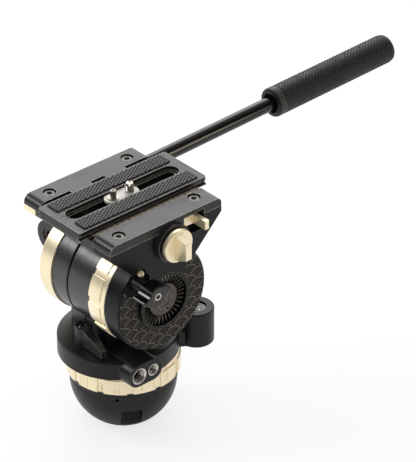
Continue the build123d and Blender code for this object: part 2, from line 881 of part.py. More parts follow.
def clamp_jaw():
    """Jaw along the plate's near edge with the arm that the lock screw drives."""
    z0 = centre + deck_top + slide_gap
    top = z0 + jaw_height
    middle = (centre + plate_top - plate_lip + groove_bottom()) / 2
    jaw = block(jaw_inner_x, jaw_outer_x, jaw_front, jaw_back, z0, top)
    low = middle - jaw_lip_height
    jaw += end_prism([(jaw_inner_x, low), (jaw_inner_x - jaw_lip, middle - jaw_lip_height / 4),
                      (jaw_inner_x - jaw_lip, middle), (jaw_inner_x, middle)], jaw_front, jaw_back)
    jaw += block(arm_inner_x, arm_outer_x, lock_y - arm_width / 2, lock_y + arm_width / 2, centre + arm_bottom, top)
    return jaw - xcyl(lock_stud_radius + fit_gap, arm_inner_x, arm_outer_x, lock_y, centre + lock_z)


def plate_lock_collar():
    """Black collar round the lock knob's neck."""
    x0 = near_disc_x + block_step
    ring = xcyl(collar_radius, x0, x0 + collar_height, lock_y, centre + lock_z)
    ring = chamfer(ring.edges().filter_by(GeomType.CIRCLE).sort_by(Axis.X)[-1], edge_break)
    return ring - xcyl(collar_radius - collar_wall, x0, x0 + collar_height, lock_y, centre + lock_z)


def plate_lock_knob():
    """Gold knob: round disc with a tapering wing across it, and its screw."""
    face = lock_disc_x + lock_disc_width
    disc = xcyl(lock_disc_radius, lock_disc_x, face)
    disc = fillet(disc.edges().filter_by(GeomType.CIRCLE), lock_round)
    tip = face + lock_wing_reach
    root = lock_wing_root_half
    end = lock_wing_tip_half
    wing = Polyline((face, 0, -root), (tip, 0, -end), (tip, 0, end), (face, 0, root), close=True)
    wing = extrude(make_face(wing), amount=lock_wing_root / 2, both=True)
    taper = Polyline((face, -lock_wing_root / 2, 0), (tip, -lock_wing_tip / 2, 0),
                     (tip, lock_wing_tip / 2, 0), (face, lock_wing_root / 2, 0), close=True)
    wing &= extrude(make_face(taper), amount=root, both=True)
    wing = fillet(wing.edges().group_by(Axis.X)[-1], lock_round)
    knob = disc + wing
    knob += xcyl(lock_neck_radius, near_disc_x + block_step + play, lock_disc_x)
    knob += xcyl(lock_stud_radius, arm_inner_x, lock_disc_x)
    return Pos(0, lock_y, centre + lock_z) * knob


def release_lever():
    """Latch plate on a pin with a thumb tab bent out at its end."""
    z = centre + release_z
    half = release_width / 2
    x0 = release_plate_x - release_plate_wall
    end = release_y + release_length
    plate = block(x0, release_plate_x, release_y, end, z - half, z + half)
    plate += xcyl(half, x0, release_plate_x, release_y, z)
    tab = block(x0, x0 + release_tab_reach, end - release_tab_wall, end, z - half, z + half)
    tab = fillet(tab.edges().group_by(Axis.X)[-1], edge_break)
    lever = plate + tab
    return lever + xcyl(release_pin_radius - fit_gap, x0 - release_pin_length, x0, release_y, z - release_pin_drop)


def rosette(outer):
    """Ring of radial face teeth, round the Z axis: base from zero, teeth upwards."""
    inner = rosette_bore
    ring = zcyl(outer, 0, rosette_base) - zcyl(inner, 0, rosette_base)
    return [ring] + [Rotation(0, 0, index * 360 / tooth_count) * tooth(inner, outer) for index in range(tooth_count)]


def tooth(inner, outer):
    """One tooth that grows with its distance from the axis."""
    sections = []
    for radius in (inner, outer - fit_gap):
        half = tooth_width_share * 2 * math.pi * radius / tooth_count
        height = tooth_height * radius / outer
        points = [(radius, -half, rosette_base - fit_gap), (radius, half, rosette_base - fit_gap),
                  (radius, 0, rosette_base + height)]
        sections.append(make_face(Polyline(*points, close=True)))
    return loft(sections, ruled=True)


def toothed_ring(outer):
    pieces = rosette(outer)
    return pieces[0].fuse(*pieces[1:])


def seated_rosette(side):
    """Rosette in a cheek's recess, teeth outwards."""
    floor = side * (near_disc_x - recess_depth)
    ring = Rotation(0, side * 90, 0) * toothed_ring(recess_radius - fit_gap)
    return Pos(floor, 0, axis_z) * ring


def pivot_cap():
    """Cap over the axle's end with three spanner holes."""
    x0 = near_disc_x - recess_depth
    cap = xcyl(cap_radius, x0, x0 + cap_height)
    cap = fillet(cap.edges().filter_by(GeomType.CIRCLE).sort_by(Axis.X)[-1], edge_break)
    for index in range(cap_hole_count):
        angle = math.radians(cap_hole_turn + index * 360 / cap_hole_count)
        y = cap_hole_circle * math.cos(angle)
        z = cap_hole_circle * math.sin(angle)
        cap -= xcyl(cap_hole_radius, x0 + cap_height - cap_hole_depth, x0 + cap_height, y, z)
    return Pos(0, 0, axis_z) * cap


def tilt_lock_boss():
    """Matte boss behind the tilt lock knob."""
    z = axis_z + tilt_lock_z
    boss = xcyl(tilt_boss_radius, near_disc_x, near_disc_x + tilt_boss_height, tilt_lock_y, z)
    boss = chamfer(boss.edges().filter_by(GeomType.CIRCLE).sort_by(Axis.X)[-1], edge_break)
    return boss - xcyl(tilt_stud_radius + slide_gap, near_disc_x, near_disc_x + tilt_boss_height, tilt_lock_y, z)


def tilt_lock_knob():
    """Black knob: hub with two pinwheel wings and a scoop beside each."""
    outline = Circle(tilt_hub_radius)
    for turn in (0, 180):
        outline += Rotation(0, 0, turn) * Pos(tilt_tip_y, tilt_tip_z) * Circle(tilt_tip_radius)
        outline += Rotation(0, 0, turn) * Pos(tilt_shoulder_y, tilt_shoulder_z) * Circle(tilt_shoulder_radius)
    outline = make_hull(outline.edges())
    for turn in (0, 180):
        outline -= Rotation(0, 0, turn) * Pos(tilt_scoop_y, tilt_scoop_z) * Circle(tilt_scoop_radius)
    body = extrude(outline, amount=tilt_knob_face_x - tilt_wing_start_x)
    body = chamfer(body.edges().group_by(Axis.Z)[-1], edge_break)
    stand = Plane(origin=(tilt_wing_start_x, 0, 0), x_dir=(0, 1, 0), z_dir=(1, 0, 0))
    knob = stand * body
    knob -= xcyl(tilt_recess_radius, tilt_knob_face_x - tilt_recess_depth, tilt_knob_face_x)
    knob += xcyl(tilt_stud_radius, near_disc_x - tilt_stud_depth, tilt_wing_start_x)
    return Pos(0, tilt_lock_y, axis_z + tilt_lock_z) * knob


def tilt_lock_screw():
    """Screw in the knob's face."""
    x = tilt_knob_face_x - tilt_recess_depth
    head = Rotation(0, 90, 0) * (zcyl(screw_head_radius, 0, tilt_recess_depth)
                                 - hexagon_socket(hex_socket, tilt_recess_depth / 2, tilt_recess_depth))
    return Pos(x, tilt_lock_y, axis_z + tilt_lock_z) * head


def index_pin():
    """Brass ball pin beside the tilt lock."""
    ball_x = near_disc_x + index_rise
    pin = xcyl(index_stem_radius - fit_gap, near_disc_x - index_stem_length / 2, ball_x)
    pin += Pos(ball_x, 0, 0) * Sphere(index_ball_radius)
    return Pos(0, index_y, axis_z + index_z) * pin


def rod_line(amount):
    """Place on the handle rod's axis at a distance along Y from the tilt axis."""
    return (rod_x, amount, axis_z + rod_z + amount * math.tan(math.radians(rod_rise_angle)))


def along_rod(solid):
    """Moves a solid made round the Y axis to the handle rod's axis."""
    return Pos(rod_x, 0, axis_z + rod_z) * Rotation(rod_rise_angle, 0, 0) * solid


def bracket_disc_x():
    """Plane of the bracket's tooth roots, facing the far rosette."""
    floor = near_disc_x - recess_depth
    return -(floor + rosette_base + tooth_mesh_gap)


def handle_bracket():
    """Bracket: toothed disc in the far ring, barrel with its screw seat, sleeve round the rod."""
    root = bracket_disc_x()
    teeth = Rotation(tooth_turn(), 0, 0) * (Rotation(0, 90, 0) * toothed_ring(bracket_disc_radius))
    body = Pos(root - rosette_base, 0, axis_z) * teeth
    body += xcyl(bracket_disc_radius, bracket_outer_x, root - rosette_base, 0, axis_z)
    body += ycyl(barrel_radius, barrel_front, barrel_back, barrel_x, axis_z + barrel_z)
    body += block(barrel_x, bracket_outer_x + overrun, -foot_half / 2, foot_half / 2, axis_z - barrel_radius / 2,
                  axis_z + barrel_z)
    sleeve = along_rod(ycyl(sleeve_radius, sleeve_front, sleeve_back))
    body += sleeve
    body += block(rod_x - sleeve_radius / 2, rod_x + sleeve_radius / 2, barrel_front + edge_break,
                  barrel_back, axis_z + barrel_z, axis_z + rod_z)
    body -= along_rod(ycyl(rod_radius, sleeve_front - overrun, sleeve_back + overrun))
    body -= along_rod(block(-sleeve_slit / 2, sleeve_slit / 2, sleeve_front - overrun, sleeve_back + overrun,
                            0, sleeve_radius + overrun))
    face = barrel_front + barrel_recess_depth
    body -= ycyl(barrel_recess_radius, barrel_front, face, barrel_x, axis_z + barrel_z)
    body -= ycyl(barrel_bore_radius, face, face + barrel_screw_drop + screw_head_height, barrel_x,
                 axis_z + barrel_z)
    bolt_end = barrel_x - barrel_radius - play
    return body - xcyl(clamp_bolt_radius + slide_gap, bolt_end, root, 0, axis_z)


def tooth_turn():
    """Half a tooth, which brings facing teeth into mesh."""
    return 360 / tooth_count / 2


def bracket_screw():
    """Silver screw in the front of the bracket's barrel."""
    y = barrel_front + barrel_recess_depth + barrel_screw_drop
    head = zcyl(screw_head_radius, -screw_head_height, 0) - hexagon_socket(hex_socket, screw_head_height / 2, 0)
    head = chamfer(head.edges().group_by(Axis.Z)[-1].sort_by(SortBy.LENGTH)[-1], edge_break / 2)
    return Pos(barrel_x, y, axis_z + barrel_z) * Rotation(90, 0, 0) * head


def handle_clamp_knob():
    """Knurled knob outside the barrel, with the bolt into the far cheek."""
    x0 = barrel_x - barrel_radius - play
    knob = Pos(x0 - clamp_knob_height, 0, 0) * (Rotation(0, 90, 0) * knurled_disc())
    knob += xcyl(clamp_bolt_radius, x0, clamp_bolt_reach - near_disc_x + recess_depth)
    return Pos(0, 0, axis_z) * knob


def knurled_disc():
    """Disc with scallops round its rim, standing on zero."""
    disc = zcyl(clamp_knob_radius, 0, clamp_knob_height)
    disc = chamfer(disc.edges().group_by(Axis.Z)[0], edge_break)
    for index in range(dial_land_count):
        angle = 2 * math.pi * index / dial_land_count
        reach = clamp_knob_radius + edge_break
        disc -= zcyl(grub_radius, 0, clamp_knob_height, reach * math.cos(angle), reach * math.sin(angle))
    return disc


def handle_rod():
    """Straight rod from the sleeve into the grip."""
    rod = ycyl(rod_radius, rod_front, rod_back)
    return along_rod(chamfer(rod.edges().filter_by(GeomType.CIRCLE), edge_break))


def handle_grip():
    """Rubber grip with a plain collar at its near end."""
    grip = ycyl(grip_radius, grip_front, grip_back - grip_cap_height)
    grip = fillet(grip.edges().filter_by(GeomType.CIRCLE).sort_by(Axis.Y)[0], grip_round)
    groove = ycyl(grip_radius + overrun, grip_front + grip_collar, grip_front + grip_collar + edge_break)
    groove -= ycyl(grip_radius - edge_break, grip_front, grip_back)
    grip -= groove
    grip -= ycyl(grip_radius - grip_wall, grip_front, rod_back + play)
    grip -= ycyl(grip_mouth_radius, grip_front, grip_front + grip_mouth_depth)
    return along_rod(grip)


def grip_cap():
    """Plain cap on the grip's end."""
    cap = ycyl(grip_radius - edge_break, grip_back - grip_cap_height, grip_back)
    return along_rod(fillet(cap.edges().filter_by(GeomType.CIRCLE).sort_by(Axis.Y)[-1], grip_round))


def along_x(solid, x, side=1):
    """Turns a solid made upwards round Z to lie round the tilt axis from plane x."""
    return Pos(x, 0, axis_z) * Rotation(0, side * 90, 0) * solid


def parts():
    """All nodes by name."""
    dial_bore = skirt_radius + fit_gap
    nodes = {
        "half_ball": half_ball(),
        "base_thread_insert": thread_bush(insert_radius, thread_large_radius, insert_length),
        "pan_spindle": pan_spindle(),
        "pan_spindle_nut": spindle_nut(),
        "pan_stator_plates": pan_plates(spindle_hub_radius, skirt_radius - skirt_wall - drag_bore_gap, False),
        "pan_rotor_plates": pan_plates(spindle_hub_radius + drag_bore_gap, skirt_radius - skirt_wall, True),
        "pan_drag_dial": Pos(0, 0, dial_bottom) * drag_dial(dial_bore, dial_radius, dial_height),
        "pan_housing": pan_housing(),
        "pan_bushing": pan_bushing(),
        "accessory_insert_large": accessory_insert(accessory_large_radius, thread_large_radius, boss_large_y),
        "accessory_insert_small": accessory_insert(accessory_small_radius, thread_small_radius, boss_small_y),
        "level_cup": level_cup(),
        "level_vial": level_vial(),
        "pan_lock_lever": pan_lock_lever(),
        "pan_lock_screw": pan_lock_screw(),
        "tilt_drum_near": tilt_drum_near(),
        "tilt_drum_far": tilt_drum_far(),
        "tilt_bushings": tilt_bushings(),
        "tilt_stator_plates": tilt_plates(axle_hub_radius + drag_bore_gap, drum_cavity_radius, False),
        "tilt_rotor_plates": tilt_plates(axle_hub_radius, drum_cavity_radius - drag_bore_gap, True),
        "counterbalance_spring": counterbalance_spring(),
        "tilt_axle": tilt_axle(),
        "tilt_drag_dial": along_x(drag_dial(dial_bore, tilt_dial_radius + dial_land_rise, tilt_dial_width),
                                  drum_near_x + play),
        "near_cheek": near_cheek(),
        "far_cheek": cheek(-1, far_inner_x, far_disc_x, far_block_x, far_screws),
        "deck": deck(),
        "near_rail": near_rail(),
        "far_rail": far_rail(),
        "rail_screws": rail_screws(),
        "camera_plate": camera_plate(),
        "plate_pads": plate_pads(),
        "screw_carrier": screw_carrier(),
        "camera_screw": camera_screw(),
        "video_pin": video_pin(),
        "clamp_jaw": clamp_jaw(),
        "plate_lock_collar": plate_lock_collar(),
        "plate_lock_knob": plate_lock_knob(),
        "release_lever": release_lever(),
        "near_rosette": seated_rosette(1),
        "far_rosette": seated_rosette(-1),
        "pivot_cap": pivot_cap(),
        "tilt_lock_boss": tilt_lock_boss(),
        "tilt_lock_knob": tilt_lock_knob(),
        "tilt_lock_screw": tilt_lock_screw(),
        "index_pin": index_pin(),
        "handle_bracket": handle_bracket(),
        "bracket_screw": bracket_screw(),
        "handle_clamp_knob": handle_clamp_knob(),
        "handle_rod": handle_rod(),
        "handle_grip": handle_grip(),
        "grip_cap": grip_cap(),
    }
    return nodes


os.makedirs("parts", exist_ok=True)
for name, solid in parts().items():
    export_step(solid, "parts/" + name + ".step")
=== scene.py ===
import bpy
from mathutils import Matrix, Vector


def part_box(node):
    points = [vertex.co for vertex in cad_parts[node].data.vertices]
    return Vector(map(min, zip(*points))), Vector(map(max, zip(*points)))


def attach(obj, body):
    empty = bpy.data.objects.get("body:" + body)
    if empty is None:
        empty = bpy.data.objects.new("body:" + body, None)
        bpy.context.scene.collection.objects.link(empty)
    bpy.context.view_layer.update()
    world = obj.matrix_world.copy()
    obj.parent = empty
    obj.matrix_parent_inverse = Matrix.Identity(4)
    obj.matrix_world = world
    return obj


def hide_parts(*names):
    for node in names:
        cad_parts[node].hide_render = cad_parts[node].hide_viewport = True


bl_info = {
    "name": "Fluid Video Head Finish",
    "version": (1, 0, 0),
    "blender": (4, 5, 0),
    "location": "View3D > Sidebar > Video Head",
    "description": "Finishes, knurls, the wave pattern, threads, scales and a studio stage for a fluid video head",
    "category": "Object",
}

import math

import bmesh
import bpy
from bpy.props import FloatProperty, FloatVectorProperty, IntProperty, PointerProperty
from mathutils import Matrix, Vector

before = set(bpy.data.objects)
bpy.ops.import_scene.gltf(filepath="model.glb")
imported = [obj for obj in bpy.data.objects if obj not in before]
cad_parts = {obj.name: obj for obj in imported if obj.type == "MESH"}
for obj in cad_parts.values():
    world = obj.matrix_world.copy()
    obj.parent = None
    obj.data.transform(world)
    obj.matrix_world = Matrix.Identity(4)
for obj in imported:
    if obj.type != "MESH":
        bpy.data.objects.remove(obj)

# One millimetre, and what the finishes' names start with
MM = 0.001
FINISH_PREFIX = "head_"

# The picture in pixels and the camera's sensor in millimetres
PICTURE_WIDTH, PICTURE_HEIGHT, SENSOR = 416, 462, 36

# Radius of the floor in metres, how much of it glows near the head, and how deep a finish's grain is
FLOOR_RADIUS, FLOOR_GLOW = 6.0, 0.74
GRAIN_DEPTH = 0.2 * MM

# Pitches of the two screw sizes in millimetres, and steps in one turn of a thread
LARGE_PITCH, SMALL_PITCH, THREAD_STEPS = 1.5875, 1.27, 24

# Height of the handle's axis over the tilt axis
HANDLE_RISE = 29.5 * MM

# On the near cheek, from the tilt axis: the depth of its face under the rim, the sloping edges of the deck's arms
# where they cross the axis, the gap kept to them, and the boss of the tilt lock
FACE_DEPTH = 3.7 * MM
ARM_FRONT, ARM_BACK, ARM_GAP = 3.1 * MM, -0.3 * MM, 0.84 * MM
LOCK_BOSS, LOCK_BOSS_RADIUS = (-22.8 * MM, 22.2 * MM), 10.6 * MM

# In the wave pattern: the step along an arc, the gap kept to a nearer scale and the inner arcs' share of the width
ARC_STEP, SCALE_GAP, INNER_WIDTH = math.radians(4), 0.15 * MM, 0.6


def middle(node):
    """Middle of a node's box."""
    low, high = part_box(node)
    return (low + high) / 2


TILT_AXIS = middle("pivot_cap")
BALL_CENTRE = Vector((0, 0, 32.5 * MM))


# Settings that a user would change

def length(name, description, default):
    """A setting that is a length, in metres."""
    return FloatProperty(name=name, description=description, unit="LENGTH", default=default)


class StudioSettings(bpy.types.PropertyGroup):
    lens: FloatProperty(name="Lens", description="Focal length of the camera in millimetres", default=242.54,
                        min=20)
    azimuth: FloatProperty(name="Azimuth", description="Turn of the camera round the pan axis", subtype="ANGLE",
                           default=math.radians(48.3286))
    elevation: FloatProperty(name="Elevation", description="Height angle of the camera", subtype="ANGLE",
                             default=math.radians(32.0456))
    roll: FloatProperty(name="Roll", description="Turn of the camera round its own axis", subtype="ANGLE",
                        default=math.radians(0.0607))
    distance: length("Distance", "Depth of the ball's centre in front of the camera", 2.1566)
    ball_u: FloatProperty(name="Ball across", description="Where the ball's centre is seen, in pixels from the left",
                          default=123.454)
    ball_v: FloatProperty(name="Ball down", description="Where the ball's centre is seen, in pixels from the top",
                          default=371.291)
    softbox: FloatProperty(name="Softbox", description="Power of the softbox over the back", unit="POWER",
                           default=15.0)
    key: FloatProperty(name="Key", description="Power of the softbox at the front left", unit="POWER", default=13.0)
    strip: FloatProperty(name="Strip", description="Power of the warm strip light at the right", unit="POWER",
                         default=4.0)
    ambient: FloatProperty(name="Ambient", description="Strength of the world's light on matt surfaces",
                           default=0.72, min=0)
    dim: FloatProperty(name="Dim side", description="How much of the white the unlit side of the studio reflects",
                       default=0.07, min=0, max=1)


class FinishSettings(bpy.types.PropertyGroup):
    black: FloatVectorProperty(name="Black anodising", description="Colour of the black aluminium", subtype="COLOR",
                               default=(0.0120, 0.0122, 0.0132))
    gold: FloatVectorProperty(name="Champagne anodising", description="Colour of the gold aluminium",
                              subtype="COLOR", default=(0.93, 0.81, 0.56))
    steel: FloatVectorProperty(name="Steel", description="Colour of the bright steel", subtype="COLOR",
                               default=(0.80, 0.79, 0.76))
    rubber: FloatVectorProperty(name="Rubber", description="Colour of the rubber pads", subtype="COLOR",
                                default=(0.060, 0.060, 0.060))
    grip: FloatVectorProperty(name="Grip", description="Colour of the grip's rubber", subtype="COLOR",
                              default=(0.034, 0.031, 0.027))
    # The edge colour below is worn metal and also a painted highlight along the black pieces' edges
    edge_wear_and_highlight: FloatVectorProperty(name="Worn edge", description="Colour of the metal on the black pieces' edges",
                              subtype="COLOR", default=(0.55, 0.47, 0.35))
    edge: length("Edge", "Width of the worn line along an edge", 0.00032)


class PadSettings(bpy.types.PropertyGroup):
    across: length("Pitch across", "Distance of the diamonds across the plate", 0.00237)
    along: length("Row pitch", "Distance of the rows of diamonds along the plate", 0.00203)
    height: length("Height", "Height of a diamond", 0.0006)
    inner: length("Inner edge", "Distance of a pad's inner edge from the middle", 0.0084)


class GripSettings(bpy.types.PropertyGroup):
    radius: length("Radius", "Outer radius of the grip", 0.011)
    bore: length("Bore", "Radius of the bore round the rod", 0.0056)
    mouth: length("Mouth", "Radius of the open mouth round the rod", 0.0073)
    mouth_depth: length("Mouth depth", "Depth of the open mouth", 0.004)
    start: length("Start", "Distance of the grip's front from the tilt axis", 0.1905)
    end: length("End", "Distance of the knurled part's end from the tilt axis", 0.3036)
    collar: length("Collar", "Length of the plain collar", 0.007)
    rise: FloatProperty(name="Rise", description="Angle that the rod rises at", subtype="ANGLE",
                        default=math.radians(1.86))
    columns: IntProperty(name="Columns", description="Number of knurls round the grip", default=48, min=8)
    pitch: length("Pitch", "Distance of the knurls along the grip", 0.00293)
    depth: length("Depth", "Depth of the grooves between the knurls", 0.00036)


class WaveSettings(bpy.types.PropertyGroup):
    radius: length("Scale radius", "Radius of one scale of the wave pattern", 0.00735)
    row: length("Row pitch", "Distance of the rows of scales", 0.0043)
    start: FloatVectorProperty(name="Start", description="Middle of the first scale, along and over the tilt axis",
                               size=2, unit="LENGTH", default=(0.00229, 0.00497))
    rings: IntProperty(name="Rings", description="Number of arcs in one scale", default=5, min=1, max=8)
    ridge: length("Ridge width", "Width of an outer arc", 0.00072)
    height: length("Ridge height", "Height of an arc over the face", 0.00035)
    outer: length("Outer radius", "Radius where the pattern ends", 0.0374)
    inner: length("Inner radius", "Radius where the pattern starts", 0.0218)


# Shader building

def add(tree, kind, options=None, feeds=None):
    """Adds a shader node, sets its options and feeds its inputs with values or sockets."""
    made = tree.nodes.new("ShaderNode" + kind)
    for key, value in (options or {}).items():
        setattr(made, key, value)
    for key, value in (feeds or {}).items():
        if isinstance(value, bpy.types.NodeSocket):
            tree.links.new(value, made.inputs[key])
        else:
            made.inputs[key].default_value = value
    return made


def maths(tree, operation, first, second):
    """Arithmetic on two values or sockets."""
    return add(tree, "Math", {"operation": operation}, {0: first, 1: second}).outputs[0]


def vectors(tree, operation, first, second=(0, 0, 0), output="Value"):
    """Arithmetic on two vectors or sockets."""
    return add(tree, "VectorMath", {"operation": operation}, {0: first, 1: second}).outputs[output]


def noise(tree, place, scale, detail=2.0):
    """A cloudy value between zero and one."""
    return add(tree, "TexNoise", None, {"Vector": place, "Scale": scale, "Detail": detail}).outputs["Fac"]


def split(tree, place):
    """The three coordinates of a place."""
    return add(tree, "SeparateXYZ", None, {0: place}).outputs


def span(tree, first, second):
    """Length of a line with two coordinates."""
    return vectors(tree, "LENGTH", add(tree, "CombineXYZ", None, {0: first, 1: second}).outputs[0])


def remap(tree, value, low, high, out_low=0.0, out_high=1.0):
    """Moves a value from one range to another, held inside it."""
    feeds = {"Value": value, "From Min": low, "From Max": high, "To Min": out_low, "To Max": out_high}
    return add(tree, "MapRange", {"clamp": True}, feeds).outputs["Result"]


def blend_colours(tree, amount, first, second):
    """Mixes two colours or sockets."""
    made = add(tree, "Mix", {"data_type": "RGBA"}, {0: amount})
    for index, value in ((6, first), (7, second)):
        if isinstance(value, bpy.types.NodeSocket):
            tree.links.new(value, made.inputs[index])
        else:
            made.inputs[index].default_value = (*value[:3], 1)
    return made.outputs[2]


def scaled(colour, factor):
    """A colour made lighter or darker."""
    return tuple(min(1.0, c * factor) for c in colour[:3])


def edge_mask(tree, width):
    """One along a piece's sharp edges, zero on its faces."""
    bevel = add(tree, "Bevel", {"samples": 6}, {"Radius": width}).outputs[0]
    normal = add(tree, "NewGeometry").outputs["Normal"]
    return remap(tree, vectors(tree, "DOT_PRODUCT", bevel, normal), 0.985, 0.86)


def new_material(name):
    """An empty finish, with its tree, its shader and the place on the piece."""
    material = bpy.data.materials.new(FINISH_PREFIX + name)
    material.use_nodes = True
    tree = material.node_tree
    return tree, tree.nodes["Principled BSDF"], add(tree, "TexCoord").outputs["Object"]


def dress(tree, shader, shade, rough, metallic=0.0, specular=0.5, relief=None, bump=0.0):
    """Feeds a shader its colour, roughness and relief, and sets its plain values."""
    tree.links.new(shade, shader.inputs["Base Color"])
    tree.links.new(rough, shader.inputs["Roughness"])
    shader.inputs["Metallic"].default_value = metallic
    shader.inputs["Specular IOR Level"].default_value = specular
    if relief is not None:
        raised = add(tree, "Bump", None, {"Strength": bump, "Distance": GRAIN_DEPTH, "Height": relief})
        tree.links.new(raised.outputs[0], shader.inputs["Normal"])


def coated_metal(name, colour, roughness, metallic=0.0, specular=0.5, grain=2600.0, bump=0.10, edge_wear_and_highlight=None,
                 edge=0.0, wear_and_highlight_amount=0.7, spread=0.06, cloudy=0.14, notch_painted_shade=False):
    """Anodised or painted metal: fine grain, cloudy roughness, and lighter edges that are partly wear and partly
    painted highlight. On the ball, the walls of the notch, which lie inside its surface, get black painted shade."""
    tree, shader, place = new_material(name)
    fine = noise(tree, place, grain, 3.0)
    cloud = noise(tree, place, 60.0, 4.0)
    dark, light = scaled(colour, 1 - cloudy), scaled(colour, 1 + cloudy)
    shade = blend_colours(tree, remap(tree, cloud, 0.3, 0.7), dark, light)
    rough = remap(tree, cloud, 0.25, 0.75, roughness - spread, roughness + spread)
    # Lighter edges: partly worn metal, partly a painted highlight along them, broken up by noise
    if edge_wear_and_highlight is not None:
        edge_breaks = remap(tree, noise(tree, place, 420.0, 3.0), 0.32, 0.55, 0.35)
        amount = maths(tree, "MULTIPLY", maths(tree, "MULTIPLY", edge_mask(tree, edge), edge_breaks), wear_and_highlight_amount)
        shade = blend_colours(tree, amount, shade, edge_wear_and_highlight)
    if notch_painted_shade:
        # Painted shade: the notch's walls, nearer the ball's centre than its surface, are painted black
        reach = vectors(tree, "DISTANCE", place, tuple(BALL_CENTRE))
        shade = blend_colours(tree, remap(tree, reach, 35.0 * MM, 37.0 * MM), (0.0015, 0.0015, 0.0015), shade)
    dress(tree, shader, shade, rough, metallic, specular, fine, bump)


def turned_metal(name, colour, roughness, metallic=1.0, specular=0.5, lines=2200.0, bump=0.05):
    """Metal turned round the tilt axis, with fine rings."""
    tree, shader, place = new_material(name)
    parts = split(tree, vectors(tree, "SUBTRACT", place, tuple(TILT_AXIS), "Vector"))
    line = add(tree, "CombineXYZ", None, {0: span(tree, parts["Y"], parts["Z"]), 1: parts["X"]}).outputs[0]
    fine = noise(tree, line, lines)
    cloud = noise(tree, place, 90.0, 3.0)
    shade = blend_colours(tree, remap(tree, cloud, 0.3, 0.7), scaled(colour, 0.9), scaled(colour, 1.06))
    rough = remap(tree, fine, 0.3, 0.7, roughness - 0.05, roughness + 0.07)
    dress(tree, shader, shade, rough, metallic, specular, fine, bump)


def moulded_rubber(name, colour, roughness, specular=0.35):
    """Moulded rubber with fine pores."""
    tree, shader, place = new_material(name)
    pores = add(tree, "TexVoronoi", None, {"Vector": place, "Scale": 2400.0}).outputs["Distance"]
    cloud = noise(tree, place, 140.0, 4.0)
    shade = blend_colours(tree, remap(tree, cloud, 0.35, 0.65), scaled(colour, 0.8), scaled(colour, 1.2))
    rough = remap(tree, cloud, 0.3, 0.7, roughness - 0.06, roughness + 0.06)
    dress(tree, shader, shade, rough, 0.0, specular, pores, 0.15)


def tread_rubber(name, colour):
    """Pad rubber, with painted shade between the diamonds and a painted grey highlight on their tops."""
    tree, shader, place = new_material(name)
    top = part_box("plate_pads")[1].z
    cloud = noise(tree, place, 500.0, 3.0)
    # Painted light by height: dark low between the diamonds, light on their tops, broken up by noise
    rise = remap(tree, split(tree, place)["Z"], top - 0.62 * MM, top - 0.12 * MM)
    amount = maths(tree, "MULTIPLY", rise, remap(tree, cloud, 0.2, 0.7, 0.65))
    shade = blend_colours(tree, amount, scaled(colour, 0.06), scaled(colour, 3.2))
    dress(tree, shader, shade, remap(tree, cloud, 0.3, 0.7, 0.42, 0.56), specular=0.16)


def knurled_rubber(name, colour):
    """Grip rubber, with a painted highlight on the knurls and painted shade in their grooves."""
    s = bpy.context.scene.head_grip
    tree, shader, place = new_material(name)
    parts = split(tree, place)
    side = maths(tree, "SUBTRACT", parts["X"], middle("handle_rod").x)
    level = maths(tree, "ADD", maths(tree, "MULTIPLY", parts["Y"], math.tan(s.rise)), TILT_AXIS.z + HANDLE_RISE)
    radius = span(tree, side, maths(tree, "SUBTRACT", parts["Z"], level))
    cloud = noise(tree, place, 160.0, 4.0)
    # Painted light by radius: light on the knurls, dark in the grooves, broken up by noise
    rise = remap(tree, radius, s.radius - s.depth, s.radius - 0.15 * MM)
    amount = maths(tree, "MULTIPLY", rise, remap(tree, cloud, 0.3, 0.7, 0.6))
    shade = blend_colours(tree, amount, scaled(colour, 0.10), scaled(colour, 1.3))
    dress(tree, shader, shade, remap(tree, cloud, 0.3, 0.7, 0.40, 0.55), specular=0.35)


def toothed_steel(name, crest, inward):
    """Blackened steel teeth with a painted highlight along their crests."""
    tree, shader, place = new_material(name)
    fine = noise(tree, place, 900.0, 3.0)
    # Painted highlight: lighter towards each tooth's crest, broken up by noise
    rise = remap(tree, split(tree, place)["X"], crest + inward * 0.75 * MM, crest + inward * 0.10 * MM)
    amount = maths(tree, "MULTIPLY", rise, remap(tree, fine, 0.2, 0.6, 0.7))
    shade = blend_colours(tree, amount, (0.008, 0.007, 0.006), (0.50, 0.45, 0.36))
    dress(tree, shader, shade, remap(tree, fine, 0.3, 0.7, 0.22, 0.34), 0.6)


def bored_steel(name, node):
    """Insert steel: a bright turned face, and painted shade that darkens its bore and threads deeper in."""
    tree, shader, place = new_material(name)
    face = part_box(node)[1].x
    depth = split(tree, place)["X"]
    # Painted shade: a little darker just inside the face, near black deeper in the bore
    inside = remap(tree, depth, face - 0.35 * MM, face - 1.6 * MM)
    deep = remap(tree, depth, face - 2.6 * MM, face - 6.5 * MM)
    shade = blend_colours(tree, inside, (0.70, 0.68, 0.63), (0.42, 0.39, 0.34))
    shade = blend_colours(tree, deep, shade, (0.015, 0.013, 0.011))
    dress(tree, shader, shade, remap(tree, noise(tree, place, 1800.0, 3.0), 0.3, 0.7, 0.22, 0.36), 0.85)


def vial_fluid(name):
    """The level's dark green fluid under its clear lid."""
    tree, shader, place = new_material(name)
    shade = blend_colours(tree, noise(tree, place, 300.0), (0.010, 0.012, 0.008), (0.030, 0.034, 0.022))
    tree.links.new(shade, shader.inputs["Base Color"])
    for socket, value in (("Transmission Weight", 0.3), ("Roughness", 0.04), ("IOR", 1.46)):
        shader.inputs[socket].default_value = value


